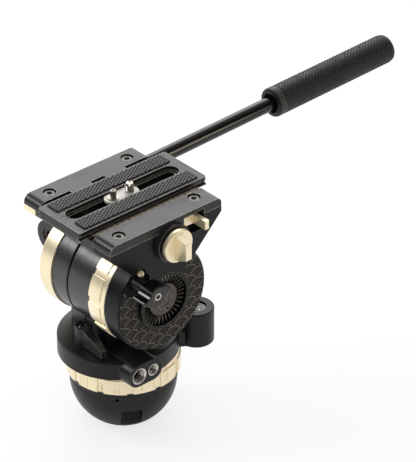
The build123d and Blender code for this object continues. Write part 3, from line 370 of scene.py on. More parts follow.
def make_finishes():
    """Makes all the finishes."""
    s = bpy.context.scene.head_finish
    black = s.black
    edge_wear_and_highlight = {"edge_wear_and_highlight": tuple(s.edge_wear_and_highlight), "edge": s.edge}
    coated_metal("black", black, 0.33, specular=0.36, **edge_wear_and_highlight)
    # The rails and the plate get a wider, paler painted highlight along their edges, partly wear
    coated_metal("black_top", black, 0.34, specular=0.36, edge_wear_and_highlight=(0.80, 0.71, 0.56), edge=s.edge * 1.7)
    # Painted shade: a darker copy of the black for the pan housing, shaded by the drum
    coated_metal("black_shaded_housing", scaled(black, 0.55), 0.36, specular=0.26, wear_and_highlight_amount=0.6, **edge_wear_and_highlight)
    coated_metal("black_ball", black, 0.36, specular=0.22, wear_and_highlight_amount=0.3, notch_painted_shade=True, **edge_wear_and_highlight)
    # Painted shade: a much darker copy of the black for the near cheek's face and the lock's boss
    coated_metal("black_shaded_face", scaled(black, 0.3), 0.34, specular=0.20, wear_and_highlight_amount=0.5, **edge_wear_and_highlight)
    # Painted shade: a darker copy of the black for the level's cup, down in its hole
    coated_metal("black_shiny", scaled(black, 0.6), 0.20, wear_and_highlight_amount=0.5, bump=0.03, spread=0.03, **edge_wear_and_highlight)
    turned_metal("black_drum", black, 0.31, metallic=0.0, specular=0.8, lines=1500.0, bump=0.10)
    # The wave ridges' lighter colours are painted highlight where their relief catches the light
    coated_metal("wave", (0.13, 0.117, 0.095), 0.34, specular=0.6, edge_wear_and_highlight=(0.30, 0.27, 0.22), edge=0.22 * MM,
                 wear_and_highlight_amount=0.8)
    coated_metal("wave_inner", (0.080, 0.071, 0.058), 0.36, edge_wear_and_highlight=(0.12, 0.108, 0.088), edge=0.18 * MM, wear_and_highlight_amount=0.8)
    # Painted shade: the near-black sheet under the wave ridges
    coated_metal("wave_shade_sheet", (0.003, 0.003, 0.003), 0.6, specular=0.12, bump=0.05)
    coated_metal("gold", s.gold, 0.30, metallic=0.6, grain=3200.0, bump=0.012, edge_wear_and_highlight=(1.0, 0.97, 0.88), edge=s.edge,
                 wear_and_highlight_amount=0.6, spread=0.02, cloudy=0.02)
    coated_metal("steel", s.steel, 0.24, metallic=1.0, grain=2200.0, bump=0.04)
    coated_metal("satin_steel", (0.46, 0.445, 0.405), 0.42, metallic=0.2, grain=2200.0, bump=0.04,
                 edge_wear_and_highlight=(0.95, 0.90, 0.80), edge=0.4 * MM)
    coated_metal("screw_thread", (0.30, 0.275, 0.235), 0.26, metallic=0.85, bump=0.03, edge_wear_and_highlight=(0.98, 0.94, 0.86),
                 edge=0.3 * MM, wear_and_highlight_amount=0.8)
    coated_metal("screw_steel", (0.10, 0.097, 0.090), 0.38, metallic=0.25, edge_wear_and_highlight=(0.60, 0.56, 0.46), edge=0.4 * MM,
                 wear_and_highlight_amount=0.8)
    coated_metal("cap_metal", (0.066, 0.055, 0.047), 0.26, metallic=0.6, bump=0.02, cloudy=0.05,
                 edge_wear_and_highlight=(0.75, 0.68, 0.55), edge=0.4 * MM, wear_and_highlight_amount=0.9)
    coated_metal("gloss", (0.004, 0.004, 0.0045), 0.10, grain=900.0, bump=0.01, spread=0.03,
                 edge_wear_and_highlight=(0.62, 0.57, 0.47), edge=0.25 * MM, wear_and_highlight_amount=0.35)
    coated_metal("rod", (0.003, 0.003, 0.003), 0.10, specular=0.35, grain=900.0, bump=0.01, spread=0.02)
    coated_metal("brass", (0.80, 0.68, 0.45), 0.28, metallic=0.5, bump=0.02)
    coated_metal("tan", (0.33, 0.28, 0.20), 0.42, specular=0.4, grain=1800.0)
    # Used for printed marks and also as painted shade for the knob screw's socket and counterbore
    coated_metal("ink", (0.006, 0.006, 0.006), 0.6, specular=0.2)
    coated_metal("amber", (0.74, 0.61, 0.37), 0.45, metallic=0.2)
    coated_metal("bright_ring", (0.45, 0.42, 0.36), 0.28, metallic=0.8, bump=0.03, edge_wear_and_highlight=(0.9, 0.85, 0.74),
                 edge=0.3 * MM, wear_and_highlight_amount=0.8)
    coated_metal("bright_line", (1.0, 0.98, 0.93), 0.4)
    turned_metal("bronze", (0.55, 0.38, 0.20), 0.32)
    toothed_steel("near_teeth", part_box("near_rosette")[1].x, -1.0)
    toothed_steel("far_teeth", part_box("far_rosette")[0].x, 1.0)
    bored_steel("insert_large", "accessory_insert_large")
    bored_steel("insert_small", "accessory_insert_small")
    moulded_rubber("rubber", s.rubber, 0.5, specular=0.5)
    moulded_rubber("grip", s.grip, 0.55)
    tread_rubber("tread", s.rubber)
    knurled_rubber("knurl", s.grip)
    vial_fluid("vial")


FINISH_NODES = {
    "black": "pan_lock_lever deck clamp_jaw plate_lock_collar handle_bracket handle_clamp_knob",
    "black_ball": "half_ball",
    "black_drum": "tilt_drum_near tilt_drum_far",
    # The near cheek's face and the pan housing get darker copies of the black, as painted shade
    "black_shaded_face": "near_cheek tilt_lock_boss",
    "black_shaded_housing": "pan_housing",
    # The level's cup is dark as painted shade in its hole
    "black_shiny": "level_cup",
    "black_top": "near_rail far_rail camera_plate",
    "brass": "index_pin",
    "bronze": "pan_bushing tilt_bushings",
    "cap_metal": "pivot_cap",
    "far_teeth": "far_rosette",
    "gloss": "pan_lock_screw tilt_lock_knob",
    "gold": "pan_drag_dial tilt_drag_dial far_cheek plate_lock_knob release_lever",
    "grip": "handle_grip grip_cap",
    "insert_large": "accessory_insert_large",
    "insert_small": "accessory_insert_small",
    "near_teeth": "near_rosette",
    "rod": "handle_rod",
    "rubber": "plate_pads",
    "satin_steel": "screw_carrier",
    "screw_steel": "rail_screws tilt_lock_screw",
    "screw_thread": "camera_screw video_pin",
    "steel": "base_thread_insert pan_spindle pan_spindle_nut pan_stator_plates pan_rotor_plates tilt_stator_plates "
             "tilt_rotor_plates counterbalance_spring tilt_axle bracket_screw",
    "vial": "level_vial",
}
NODE_FINISH = {node: name for name, nodes in FINISH_NODES.items() for node in nodes.split()}


def finish(name):
    """The material of a finish. All of them are made on first use."""
    if FINISH_PREFIX + name not in bpy.data.materials:
        make_finishes()
    return bpy.data.materials[FINISH_PREFIX + name]


# Mesh building

def new_mesh(name, bm):
    """Turns a mesh under construction into mesh data."""
    mesh = bpy.data.meshes.new(name)
    bm.to_mesh(mesh)
    bm.free()
    return mesh


def add_object(name, data):
    """Adds an object with its data to the scene."""
    made = bpy.data.objects.new(name, data)
    bpy.context.scene.collection.objects.link(made)
    return made


def seat(name, bm, finish_name, body, angle=30, replaces=()):
    """Turns a mesh under construction into a piece that rides on a body."""
    bmesh.ops.recalc_face_normals(bm, faces=bm.faces)
    mesh = new_mesh(name, bm)
    mesh.polygons.foreach_set("use_smooth", [True] * len(mesh.polygons))
    mesh.set_sharp_from_angle(angle=math.radians(angle))
    mesh.materials.append(finish(finish_name))
    piece = add_object(name, mesh)
    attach(piece, body)
    if replaces:
        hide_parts(*replaces)


def merge(bm, part, turns=(Matrix.Identity(4),)):
    """Moves a part's mesh into another, once for each turn of it."""
    mesh = new_mesh("part", part)
    for turn in turns:
        mesh.transform(turn)
        bm.from_mesh(mesh)
    bpy.data.meshes.remove(mesh)


def cut(bm, point, way, **sides):
    """Cuts a mesh by a plane and clears the sides that are named."""
    bmesh.ops.bisect_plane(bm, geom=bm.verts[:] + bm.edges[:] + bm.faces[:], plane_co=point, plane_no=way, **sides)


def turned(angle, axis):
    """A turn in degrees round an axis."""
    return Matrix.Rotation(math.radians(angle), 4, axis)


def add_bar(bm, place, size):
    """Adds a box of a size at a place."""
    return bmesh.ops.create_cube(bm, size=1.0, matrix=place @ Matrix.Diagonal((*size, 1)))["verts"]


def add_block(bm, low, high, bevel=0.0, upright_only=False):
    """Adds a box between two corners, its edges broken."""
    low, high = Vector(low), Vector(high)
    size = high - low
    verts = add_bar(bm, Matrix.Translation((low + high) / 2), size)
    if bevel:
        edges = {e for v in verts for e in v.link_edges}
        if upright_only:
            edges = {e for e in edges if abs(e.verts[0].co.z - e.verts[1].co.z) > size.z / 2}
        bmesh.ops.bevel(bm, geom=list(edges), offset=bevel, segments=3, profile=0.5, affect="EDGES", material=-1)


def add_rings(bm, rings, columns, turn):
    """Builds a skin of rings along Y: each is its place and a radius for each vertex, worked by extruding."""
    made = bmesh.ops.create_circle(bm, cap_ends=False, segments=columns, radius=1.0, matrix=turned(90, "X"))
    loop = made["verts"]
    edges = list({e for v in loop for e in v.link_edges})
    placed = []
    for number, (y, radii) in enumerate(rings):
        if number:
            made = bmesh.ops.extrude_edge_only(bm, edges=edges)["geom"]
            loop = [g for g in made if isinstance(g, bmesh.types.BMVert)]
            keep = set(loop)
            edges = [g for g in made if isinstance(g, bmesh.types.BMEdge) and keep.issuperset(g.verts)]
        for v in loop:
            angle = math.atan2(v.co.z, v.co.x)
            index = round(angle / (2 * math.pi / columns)) % columns
            radius = radii[index % len(radii)]
            placed.append((v, Vector((radius * math.cos(angle), y, radius * math.sin(angle)))))
    for v, co in placed:
        v.co = turn @ co


def add_spun(bm, outline, axis, centre, angle=2 * math.pi, steps=48, dvec=(0, 0, 0), closed=False):
    """Spins an outline round an axis."""
    verts = [bm.verts.new(p) for p in outline]
    edges = [bm.edges.new(pair) for pair in zip(verts, verts[1:])]
    geom = verts + edges
    if closed:
        edges.append(bm.edges.new((verts[-1], verts[0])))
        geom = verts + edges + [bm.faces.new(verts)]
    full = abs(angle - 2 * math.pi) < 1e-6 and not Vector(dvec).length
    bmesh.ops.spin(bm, geom=geom, cent=centre, axis=axis, dvec=dvec, angle=angle, steps=steps, use_merge=full)


def add_turned(bm, profile, centre, axis, steps=48):
    """Spins a profile, pairs of a radius and a height in millimetres, round the X or Z axis at a centre."""
    centre = Vector(centre)
    out, up = Vector((0, 0, 1)), Vector((1, 0, 0))
    if axis == "Z":
        out, up = up, out
    add_spun(bm, [centre + (out * r + up * h) * MM for r, h in profile], tuple(up), tuple(centre), steps=steps)


def add_thread(bm, start, along, major, minor, pitch, turns, outward=False):
    """Adds a helical ridge between two radii, all in millimetres but its start."""
    start, along = Vector(start), Vector(along)
    side = Vector((0, 0, 1)) if abs(along.z) < 0.5 else Vector((0, 1, 0))
    root, crest = (minor * MM, major * MM) if outward else (major * MM, minor * MM)
    rise = along * pitch * MM
    steps = int(THREAD_STEPS * turns)
    outline = [start + side * root, start + rise * 0.5 + side * crest, start + rise + side * root]
    add_spun(bm, outline, tuple(along), tuple(start), angle=2 * math.pi * turns, steps=steps,
             dvec=tuple(rise * turns / steps))


# Operators

class VIDEOHEAD_OT_finishes(bpy.types.Operator):
    """Gives every solid of the head its finish"""
    bl_idname = "video_head.finishes"
    bl_label = "Finish the solids"

    def execute(self, context):
        for name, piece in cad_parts.items():
            material = finish(NODE_FINISH[name])
            for slot in piece.material_slots:
                slot.material = material
            if not piece.material_slots:
                piece.data.materials.append(material)
        return {"FINISHED"}


class VIDEOHEAD_OT_plate_pads(bpy.types.Operator):
    """Builds the two rubber pads with their diamond tread"""
    bl_idname = "video_head.plate_pads"
    bl_label = "Plate pads"

    def execute(self, context):
        s = context.scene.head_pads
        low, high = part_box("plate_pads")
        base = high.z - s.height
        corner, trim, fill, crown = 1.0 * MM, 0.35 * MM, 0.97, 0.42
        diamond = Matrix.Diagonal((s.across / 2 * fill, s.along * fill, 1, 1))
        bm, tread = bmesh.new(), bmesh.new()
        for side in (-1, 1):
            x0, x1 = sorted((side * s.inner, side * high.x))
            add_block(bm, (x0, low.y, low.z), (x1, high.y, base), corner, upright_only=True)
            part = bmesh.new()
            for row in range(int((high.y - low.y) / s.along) + 2):
                x = x0 + (s.across / 2 if row % 2 else 0)
                while x < x1 + s.across / 2:
                    place = Matrix.Translation((x, low.y + row * s.along, base + s.height / 2))
                    bmesh.ops.create_cone(part, cap_ends=True, segments=4, radius1=1.0, radius2=crown, depth=s.height,
                                          matrix=place @ diamond)
                    x += s.across
            for point, way in (((x0 + trim, 0, 0), (-1, 0, 0)), ((x1 - trim, 0, 0), (1, 0, 0)),
                               ((0, low.y + trim, 0), (0, -1, 0)), ((0, high.y - trim, 0), (0, 1, 0))):
                cut(part, point, way, clear_outer=True)
            bmesh.ops.holes_fill(part, edges=[e for e in part.edges if e.is_boundary], sides=8)
            merge(tread, part)
        merge(bm, tread)
        seat("pad_tread", bm, "tread", "plate", angle=20, replaces=("plate_pads",))
        return {"FINISHED"}


class VIDEOHEAD_OT_handle_grip(bpy.types.Operator):
    """Builds the knurled rubber grip with its plain collar"""
    bl_idname = "video_head.handle_grip"
    bl_label = "Handle grip"

    def execute(self, context):
        s = context.scene.head_grip
        r, y0, margin = s.radius, s.start, 0.9 * MM
        plain = [(y0 + s.mouth_depth, s.bore), (y0 + s.mouth_depth, s.mouth), (y0 + 0.4 * MM, s.mouth),
                 (y0, s.mouth + 0.4 * MM), (y0, r - 1.7 * MM),
                 (y0 + 0.5 * MM, r - 0.7 * MM), (y0 + 1.2 * MM, r - 0.2 * MM), (y0 + 2.0 * MM, r),
                 (y0 + s.collar - 0.3 * MM, r), (y0 + s.collar, r - 0.5 * MM),
                 (y0 + s.collar + 0.6 * MM, r - 0.5 * MM)]
        rings = [(y, [radius]) for y, radius in plain]
        y = y0 + s.collar + margin
        count = int((s.end - margin - y) / s.pitch)
        pitch = (s.end - margin - y) / count
        low, high = r - s.depth, r
        even = [low, high, high, low, low, low, low, low]
        odd = even[4:] + even[:4]
        for number in range(count):
            for share, radii in ((0.0, [low]), (0.12, even), (0.44, even), (0.5, [low]), (0.62, odd), (0.94, odd)):
                rings.append((y + pitch * (number + share), radii))
        rings += [(s.end - margin, [low]), (s.end - 0.6 * MM, [r - 0.2 * MM]), (s.end, [r - 0.4 * MM]),
                  (s.end, [s.bore])]
        place = Matrix.Translation((middle("handle_rod").x, 0, TILT_AXIS.z + HANDLE_RISE))
        bm = bmesh.new()
        add_rings(bm, rings, s.columns * 4, place @ Matrix.Rotation(s.rise, 4, "X"))
        seat("grip_knurl", bm, "knurl", "handle", angle=24, replaces=("handle_grip",))
        return {"FINISHED"}


class VIDEOHEAD_OT_wave_pattern(bpy.types.Operator):
    """Raises the overlapping-wave pattern on the near cheek"""
    bl_idname = "video_head.wave_pattern"
    bl_label = "Wave pattern"

    def inside(self, s, y, z):
        """Whether a place on the cheek's face, seen from the tilt axis, carries the pattern."""
        if not s.inner < math.hypot(y, z) < s.outer:
            return False
        if z > ARM_FRONT - y - ARM_GAP and z > ARM_BACK + y - ARM_GAP:
            return False
        return math.hypot(y - LOCK_BOSS[0], z - LOCK_BOSS[1]) > LOCK_BOSS_RADIUS

    def execute(self, context):
        s = context.scene.head_waves
        face_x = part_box("near_cheek")[1].x - FACE_DEPTH
        outlines, ridges = bmesh.new(), bmesh.new()
        rows = int(s.outer / s.row) + 3
        columns = int(s.outer / s.radius / 2) + 2
        for row in range(-rows, rows + 1):
            for column in range(-columns, columns + 1):
                cy = s.start[0] + (2 * column + (row % 2)) * s.radius
                cz = s.start[1] + row * s.row
                nearer = [(cy + dx * s.radius, cz - drop * s.row) for drop in (1, 2, 3)
                          for dx in ((-1, 1) if drop % 2 else (-2, 0, 2))]
                for ring in range(s.rings):
                    bm, wide = (ridges, INNER_WIDTH) if ring else (outlines, 1.0)
                    radius = s.radius - s.ridge / 2 - ring * s.radius / s.rings
                    run = []
                    for index in range(int(math.pi / ARC_STEP) + 2):
                        angle = index * ARC_STEP
                        y, z = cy + radius * math.cos(angle), cz + radius * math.sin(angle)
                        if angle <= math.pi and self.inside(s, y, z) and all(
                                math.hypot(y - a, z - b) > s.radius + SCALE_GAP for a, b in nearer):
                            run.append(angle)
                            continue
                        if len(run) > 2:
                            centre = Vector((face_x, TILT_AXIS.y + cy, TILT_AXIS.z + cz))
                            self.add_arc(bm, s, centre, radius, run, wide)
                        run = []
        # The outer and inner arcs carry a painted highlight in their lighter finishes
        seat("wave_outlines", outlines, "wave", "tilt", angle=25)
        seat("wave_ridges", ridges, "wave_inner", "tilt", angle=25)
        self.add_shade_sheet(s, face_x)
        return {"FINISHED"}

    def add_arc(self, bm, s, centre, radius, run, wide):
        """One raised arc with sloping sides."""
        half, top = s.ridge / 2 * wide, s.ridge / 4 * wide
        way = Vector((0, math.cos(run[0]), math.sin(run[0])))
        lift, sink = Vector((s.height, 0, 0)), Vector((-0.05 * MM, 0, 0))
        outline = [centre + way * (radius - half) + sink, centre + way * (radius - top) + lift,
                   centre + way * (radius + top) + lift, centre + way * (radius + half) + sink]
        angle = run[-1] - run[0]
        add_spun(bm, outline, (1, 0, 0), centre, angle=angle, steps=max(2, int(angle / 0.16)), closed=True)

    def add_shade_sheet(self, s, face_x):
        """A near-black sheet of painted shade that the ridges stand on: a flat ring, cut away where the deck's arms
        meet the cheek.
        """
        bm = bmesh.new()
        axis = Vector((face_x, TILT_AXIS.y, TILT_AXIS.z))
        front, back = ARM_FRONT - ARM_GAP, ARM_BACK - ARM_GAP
        for planes in (((1, front, False),), ((1, front, True), (-1, back, False))):
            part = bmesh.new()
            add_turned(part, [(s.inner / MM, 0.01), (s.outer / MM, 0.01)], axis, "X", steps=96)
            for lean, level, above in planes:
                cut(part, axis + Vector((0, 0, level)), Vector((0, lean, 1)).normalized(), clear_outer=not above,
                    clear_inner=above)
            raised = bmesh.ops.extrude_face_region(part, geom=part.faces[:])["geom"]
            bmesh.ops.translate(part, verts=[g for g in raised if isinstance(g, bmesh.types.BMVert)],
                                vec=(0.03 * MM, 0, 0))
            merge(bm, part)
        seat("wave_shade_sheet", bm, "wave_shade_sheet", "tilt", angle=25)


class VIDEOHEAD_OT_threads(bpy.types.Operator):
    """Cuts the visible screw threads into the inserts"""
    bl_idname = "video_head.threads"
    bl_label = "Threads"

    def execute(self, context):
        for node, major, pitch, name in (("accessory_insert_large", 4.74, LARGE_PITCH, "thread_large"),
                                         ("accessory_insert_small", 3.15, SMALL_PITCH, "thread_small")):
            low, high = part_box(node)
            centre = middle(node)
            turns = int((high.x - low.x - 2.2 * MM) / (pitch * MM))
            bm = bmesh.new()
            add_thread(bm, (high.x - 1.0 * MM, centre.y, centre.z), (-1, 0, 0), major, major - 0.8, pitch, turns)
            seat(name, bm, NODE_FINISH[node], "pan", angle=20)
        bm = bmesh.new()
        add_thread(bm, (0, 0, 0.8 * MM), (0, 0, 1), 4.74, 3.95, LARGE_PITCH, 7)
        seat("thread_base", bm, "steel", "base", angle=20)
        return {"FINISHED"}


class VIDEOHEAD_OT_camera_screw(bpy.types.Operator):
    """Builds the slotted and threaded camera screw, and the cross in the video pin"""
    bl_idname = "video_head.camera_screw"
    bl_label = "Camera screw"

    def execute(self, context):
        low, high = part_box("camera_screw")
        centre = middle("camera_screw")
        head, core, bore, tip_length = 6.6, 2.62, 0.3, 1.3
        neck = (high.z - low.z) / MM - tip_length
        profile = [(bore, 0), (head - 0.4, 0), (head, 0.4), (head, 1.8), (head - 0.3, 2.1), (core, 2.1),
                   (core, neck), (bore, neck)]
        bm = bmesh.new()
        add_turned(bm, profile, (centre.x, centre.y, low.z), "Z")
        start = (centre.x, centre.y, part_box("camera_plate")[1].z - 1.6 * MM)
        add_thread(bm, start, (0, 0, 1), 3.17, 2.6, SMALL_PITCH, 3.6, outward=True)
        tip = bmesh.new()
        bmesh.ops.create_cone(tip, cap_ends=True, segments=32, radius1=2.75 * MM, radius2=2.35 * MM,
                              depth=tip_length * MM,
                              matrix=Matrix.Translation((centre.x, centre.y, high.z - tip_length / 2 * MM)))
        cut(tip, (centre.x, centre.y + 0.5 * MM, 0), (0, -1, 0), clear_outer=True)
        bmesh.ops.holes_fill(tip, edges=[e for e in tip.edges if e.is_boundary], sides=64)
        half_turn = Matrix.Translation(centre) @ turned(180, "Z") @ Matrix.Translation(-centre)
        merge(bm, tip, (Matrix.Identity(4), half_turn))
        bmesh.ops.rotate(bm, verts=bm.verts, cent=centre, matrix=turned(-41.7, "Z").to_3x3())
        seat("screw_thread", bm, "screw_thread", "camera_screw", angle=28, replaces=("camera_screw",))
        centre = middle("video_pin")
        place = Matrix.Translation((centre.x, centre.y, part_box("video_pin")[1].z - 0.02 * MM))
        bm = bmesh.new()
        for turn in (20, 110):
            add_bar(bm, place @ turned(turn, "Z"), (3.0 * MM, 0.8 * MM, 0.1 * MM))
        seat("pin_cross", bm, "ink", "carrier")
        return {"FINISHED"}


class VIDEOHEAD_OT_scale_strip(bpy.types.Operator):
    """Lays the tan scale with its dark ticks along the clamp jaw"""
    bl_idname = "video_head.scale_strip"
    bl_label = "Scale strip"

    def execute(self, context):
        low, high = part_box("clamp_jaw")
        top = high.z
        x0, x1 = high.x - 2.3 * MM, high.x - 0.35 * MM
        bm = bmesh.new()
        add_block(bm, (x0, low.y + 0.4 * MM, top - 0.05 * MM), (x1, high.y - 0.4 * MM, top + 0.06 * MM), 0.04 * MM)
        seat("scale_strip", bm, "tan", "clamp")
        bm = bmesh.new()
        count, margin, half = 18, 2 * MM, 0.28 * MM
        step = (high.y - low.y - 2 * margin) / count
        for index in range(count + 1):
            y = low.y + margin + index * step
            reach = x1 if index % 2 == 0 else x1 - 0.7 * MM
            add_block(bm, (x0 + 0.2 * MM, y - half, top), (reach, y + half, top + 0.1 * MM))
        seat("scale_ticks", bm, "ink", "clamp")
        return {"FINISHED"}


class VIDEOHEAD_OT_plate_arrow(bpy.types.Operator):
    """Engraves the small chevron at the lens end of the plate"""
    bl_idname = "video_head.plate_arrow"
    bl_label = "Plate arrow"

    def execute(self, context):
        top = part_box("camera_plate")[1].z
        points = [Vector((x * MM, y * MM, top)) for x, y in ((-1.35, -50.0), (-3.3, -46.8), (2.3, -47.05))]
        bm = bmesh.new()
        for a, b in zip(points, points[1:]):
            way = b - a
            turn = Matrix.Translation((a + b) / 2) @ Matrix.Rotation(math.atan2(way.y, way.x), 4, "Z")
            add_bar(bm, turn, (way.length + 0.3 * MM, 0.34 * MM, 0.05 * MM))
        seat("plate_arrow", bm, "ink", "plate")
        return {"FINISHED"}


class VIDEOHEAD_OT_dial_marks(bpy.types.Operator):
    """Marks the settings on the two drag dials; the tilt dial's white marks are painted highlight on its raised lines
    """
    bl_idname = "video_head.dial_marks"
    bl_label = "Dial marks"

    def execute(self, context):
        low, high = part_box("pan_drag_dial")
        deep = 0.10 * MM
        marks = ((-86.5, 1.0, 9.5), (-82.5, 1.0, 9.0), (-78.5, 1.0, 8.5), (-67.0, 1.0, 6.0), (-62.5, 1.0, 6.0),
                 (-48.5, 1.0, 5.0), (-45.0, 1.0, 5.0), (-21.5, 2.0, 9.0), (-8.5, 2.0, 12.0), (8.5, 2.0, 14.0),
                 (24.0, 2.0, 14.0))
        bm = bmesh.new()
        for angle, bottom, top in marks:
            place = Matrix.Translation((high.x - 0.02 * MM, 0, low.z + (bottom + top) / 2 * MM))
            add_bar(bm, turned(angle, "Z") @ place, (deep, 0.7 * MM, (top - bottom) * MM))
        seat("pan_dial_marks", bm, "amber", "pan_dial")
        low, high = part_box("tilt_drag_dial")
        place = Matrix.Translation((low.x + 3.6 * MM - TILT_AXIS.x, (high.z - low.z) / 2 - 0.02 * MM, 0))
        bm = bmesh.new()
        # Painted highlight: white bars where the tilt dial's raised lines catch the light
        for angle in (-176.5, -172.5, -168.5, -164.5):
            add_bar(bm, Matrix.Translation(TILT_AXIS) @ turned(angle, "X") @ place, (6.2 * MM, deep, 0.8 * MM))
        seat("tilt_dial_marks", bm, "bright_line", "tilt_dial")
        return {"FINISHED"}


class VIDEOHEAD_OT_knob_screw(bpy.types.Operator):
    """Adds the raised ring on the tilt lock's screw, and dark discs of painted shade for its socket and counterbore
    """
    bl_idname = "video_head.knob_screw"
    bl_label = "Knob screw"

    def execute(self, context):
        centre = middle("tilt_lock_screw")
        centre.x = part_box("tilt_lock_screw")[1].x
        # The gap and socket discs are painted shade for recesses; the middle one is the screw's ring
        rings = (("knob_screw_gap_shade", 2.9, 3.7, 0.01, "ink", 48),
                 ("knob_screw_ring", 1.7, 2.75, 0.02, "bright_ring", 48),
                 ("knob_screw_socket_shade", 0.05, 1.6, 0.01, "ink", 6))
        for name, inner, outer, rise, finish_name, steps in rings:
            bm = bmesh.new()
            profile = ((inner, -0.3), (inner, rise), (outer, rise), (outer, -0.3))
            add_turned(bm, profile, centre, "X", steps)
            seat(name, bm, finish_name, "tilt_lock")
        return {"FINISHED"}


class VIDEOHEAD_OT_cap_ring(bpy.types.Operator):
    """Adds the raised ring and the shaft end on the pivot cap"""
    bl_idname = "video_head.cap_ring"
    bl_label = "Cap ring"

    def execute(self, context):
        centre = (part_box("pivot_cap")[1].x, TILT_AXIS.y, TILT_AXIS.z)
        profile = [(7.4, -0.1), (7.2, 0.5), (6.9, 0.7), (6.0, 0.7), (5.7, 0.5), (5.6, 0.08), (5.4, 0.08),
                   (3.9, 0.08), (3.8, 0.45), (3.5, 0.6), (1.6, 0.6), (1.4, 0.2), (0.2, 0.2)]
        bm = bmesh.new()
        add_turned(bm, profile, centre, "X", steps=64)
        seat("cap_ring", bm, "cap_metal", "tilt")
        return {"FINISHED"}


class VIDEOHEAD_OT_level(bpy.types.Operator):
    """Adds the glints of the level's bubble and the ring printed round it"""
    bl_idname = "video_head.level"
    bl_label = "Level"

    def execute(self, context):
        centre = middle("level_vial")
        centre.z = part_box("level_vial")[1].z
        bm = bmesh.new()
        # Three flat white spots: painted glints on the level's bubble
        for x, y, r in ((-0.2, -3.4, 1.5), (2.0, -2.4, 1.1), (4.1, -0.6, 0.8)):
            place = Matrix.Translation(centre + Vector((x * MM, y * MM, 0)))
            bmesh.ops.create_uvsphere(bm, u_segments=24, v_segments=12, radius=r * MM,
                                      matrix=place @ Matrix.Diagonal((1, 1, 0.3, 1)))
        seat("level_painted_glints", bm, "bright_line", "pan")
        bm = bmesh.new()
        add_turned(bm, [(4.3, 0.0), (4.3, 0.12), (3.9, 0.12), (3.9, 0.0)], centre, "Z")
        seat("level_ring", bm, "ink", "pan")
        return {"FINISHED"}


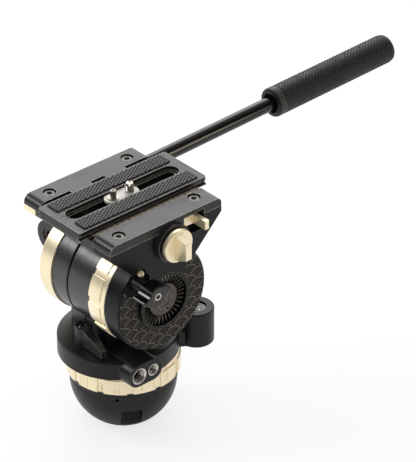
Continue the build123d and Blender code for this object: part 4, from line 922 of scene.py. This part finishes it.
class VIDEOHEAD_OT_stage(bpy.types.Operator):
    """Sets the floor, the soft lights, the world and the camera"""
    bl_idname = "video_head.stage"
    bl_label = "Studio stage"

    def execute(self, context):
        s = context.scene.head_studio
        self.add_floor(s)
        self.set_world(context, s)
        self.add_softbox("back_softbox", (-1.15, 1.05, 1.05), (0, 0.05, 0.1), 1.5, 1.1, s.softbox)
        self.add_softbox("key_softbox", (-1.2, -1.0, 1.15), (0, 0, 0.1), 0.9, 0.5, s.key)
        self.add_softbox("side_strip", (1.65, 1.25, 0.72), (0, 0, 0.1), 0.17, 1.2, s.strip, (1.0, 0.88, 0.72))
        self.add_camera(context, s)
        context.scene.view_settings.view_transform = "Standard"
        return {"FINISHED"}

    def white_backdrop(self, tree, place, away, s, matt, low, high):
        """Strength of what surrounds the head: white to the camera, on matt surfaces as given, and in glossy and
        clear ones full behind the head and dimmer in front of it, as beside a lit backdrop."""
        path = add(tree, "LightPath").outputs
        way = vectors(tree, "NORMALIZE", place, output="Vector")
        side = remap(tree, vectors(tree, "DOT_PRODUCT", way, away), low, high, s.dim)
        mirrored = maths(tree, "MAXIMUM", path["Is Glossy Ray"], path["Is Transmission Ray"])
        strength = add(tree, "Mix", {"data_type": "FLOAT"}, {0: mirrored, 2: matt, 3: side}).outputs[0]
        return maths(tree, "MAXIMUM", path["Is Camera Ray"], strength)

    def add_floor(self, s):
        """Adds a round floor that glows and keeps a soft shadow near the head. To the camera it is white further
        out, where the softboxes no longer reach it."""
        bm = bmesh.new()
        bmesh.ops.create_circle(bm, cap_ends=True, segments=96, radius=FLOOR_RADIUS)
        mesh = new_mesh("floor", bm)
        material = bpy.data.materials.new("studio_floor")
        material.use_nodes = True
        tree = material.node_tree
        tree.nodes.clear()
        place = add(tree, "TexCoord").outputs["Object"]
        plain = add(tree, "BsdfDiffuse", None, {"Color": (0.95, 0.95, 0.95, 1)})
        glow = add(tree, "Emission", None, {"Color": (1, 1, 1, 1), "Strength": 1.0})
        near = maths(tree, "MULTIPLY", self.white_backdrop(tree, place, (-0.87, 0.5, 0), s, 0.0, -0.35, 0.55),
                     FLOOR_GLOW)
        far = maths(tree, "MULTIPLY", remap(tree, vectors(tree, "LENGTH", place), 0.8, 1.8, FLOOR_GLOW),
                    add(tree, "LightPath").outputs["Is Camera Ray"])
        amount = maths(tree, "MAXIMUM", near, far)
        both = add(tree, "MixShader", None, {0: amount, 1: plain.outputs[0], 2: glow.outputs[0]})
        add(tree, "OutputMaterial", None, {"Surface": both.outputs[0]})
        mesh.materials.append(material)
        add_object("floor", mesh)

    def set_world(self, context, s):
        """Surrounds the head with a white world."""
        world = bpy.data.worlds.new("studio")
        context.scene.world = world
        world.use_nodes = True
        tree = world.node_tree
        background = tree.nodes["Background"]
        background.inputs["Color"].default_value = (1, 1, 1, 1)
        place = add(tree, "TexCoord").outputs["Generated"]
        strength = self.white_backdrop(tree, place, (-0.70, 0.62, 0.35), s, s.ambient, 0.2, 0.95)
        tree.links.new(strength, background.inputs["Strength"])

    def add_softbox(self, name, place, target, width, height, power, colour=(1, 1, 1)):
        """Adds a rectangular light that looks at a target."""
        light = bpy.data.lights.new(name, "AREA")
        light.color = colour
        light.shape = "RECTANGLE"
        light.size = width
        light.size_y = height
        light.energy = power
        lamp = add_object(name, light)
        lamp.location = place
        lamp.rotation_euler = (Vector(target) - Vector(place)).to_track_quat("-Z", "Y").to_euler()

    def add_camera(self, context, s):
        """Puts the camera where the ball's centre is seen at its place in the picture."""
        view = Vector((-math.sin(s.azimuth) * math.cos(s.elevation), math.cos(s.azimuth) * math.cos(s.elevation),
                       -math.sin(s.elevation)))
        right = Vector((math.cos(s.azimuth), math.sin(s.azimuth), 0))
        up = right.cross(view)
        across = math.cos(s.roll) * right + math.sin(s.roll) * up
        upward = -math.sin(s.roll) * right + math.cos(s.roll) * up
        pixels = s.lens * PICTURE_HEIGHT / SENSOR
        place = BALL_CENTRE - view * s.distance
        place -= across * ((s.ball_u - PICTURE_WIDTH / 2) / pixels * s.distance)
        place += upward * ((s.ball_v - PICTURE_HEIGHT / 2) / pixels * s.distance)
        data = bpy.data.cameras.new("camera")
        data.lens = s.lens
        data.sensor_width = SENSOR
        data.sensor_fit = "AUTO"
        data.clip_end = 50
        camera = add_object("camera", data)
        turn = Matrix((across, upward, -view)).transposed().to_4x4()
        camera.matrix_world = Matrix.Translation(place) @ turn
        context.scene.camera = camera


class VIDEOHEAD_PT_panel(bpy.types.Panel):
    """Lists the head's settings and steps"""
    bl_label = "Video Head"
    bl_idname = "VIDEOHEAD_PT_panel"
    bl_space_type = "VIEW_3D"
    bl_region_type = "UI"
    bl_category = "Video Head"

    def draw(self, context):
        layout = self.layout
        for group, label in GROUPS.values():
            box = layout.box()
            box.label(text=label)
            settings = getattr(context.scene, group)
            for name in type(settings).__annotations__:
                box.prop(settings, name)
        for operator in STEPS:
            layout.operator(operator.bl_idname)


GROUPS = {
    StudioSettings: ("head_studio", "Studio"),
    FinishSettings: ("head_finish", "Finishes"),
    PadSettings: ("head_pads", "Plate pads"),
    GripSettings: ("head_grip", "Grip"),
    WaveSettings: ("head_waves", "Wave pattern"),
}

STEPS = (
    VIDEOHEAD_OT_finishes,
    VIDEOHEAD_OT_plate_pads,
    VIDEOHEAD_OT_handle_grip,
    VIDEOHEAD_OT_wave_pattern,
    VIDEOHEAD_OT_threads,
    VIDEOHEAD_OT_camera_screw,
    VIDEOHEAD_OT_scale_strip,
    VIDEOHEAD_OT_plate_arrow,
    VIDEOHEAD_OT_dial_marks,
    VIDEOHEAD_OT_knob_screw,
    VIDEOHEAD_OT_cap_ring,
    VIDEOHEAD_OT_level,
    VIDEOHEAD_OT_stage,
)


def register():
    for group, (name, label) in GROUPS.items():
        bpy.utils.register_class(group)
        setattr(bpy.types.Scene, name, PointerProperty(type=group))
    for step in STEPS:
        bpy.utils.register_class(step)
    bpy.utils.register_class(VIDEOHEAD_PT_panel)


def unregister():
    bpy.utils.unregister_class(VIDEOHEAD_PT_panel)
    for step in reversed(STEPS):
        bpy.utils.unregister_class(step)
    for group, (name, label) in GROUPS.items():
        delattr(bpy.types.Scene, name)
        bpy.utils.unregister_class(group)


def main():
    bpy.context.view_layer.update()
    register()
    for step in STEPS:
        group, name = step.bl_idname.split(".")
        getattr(getattr(bpy.ops, group), name)()


if __name__ == "__main__":
    main()
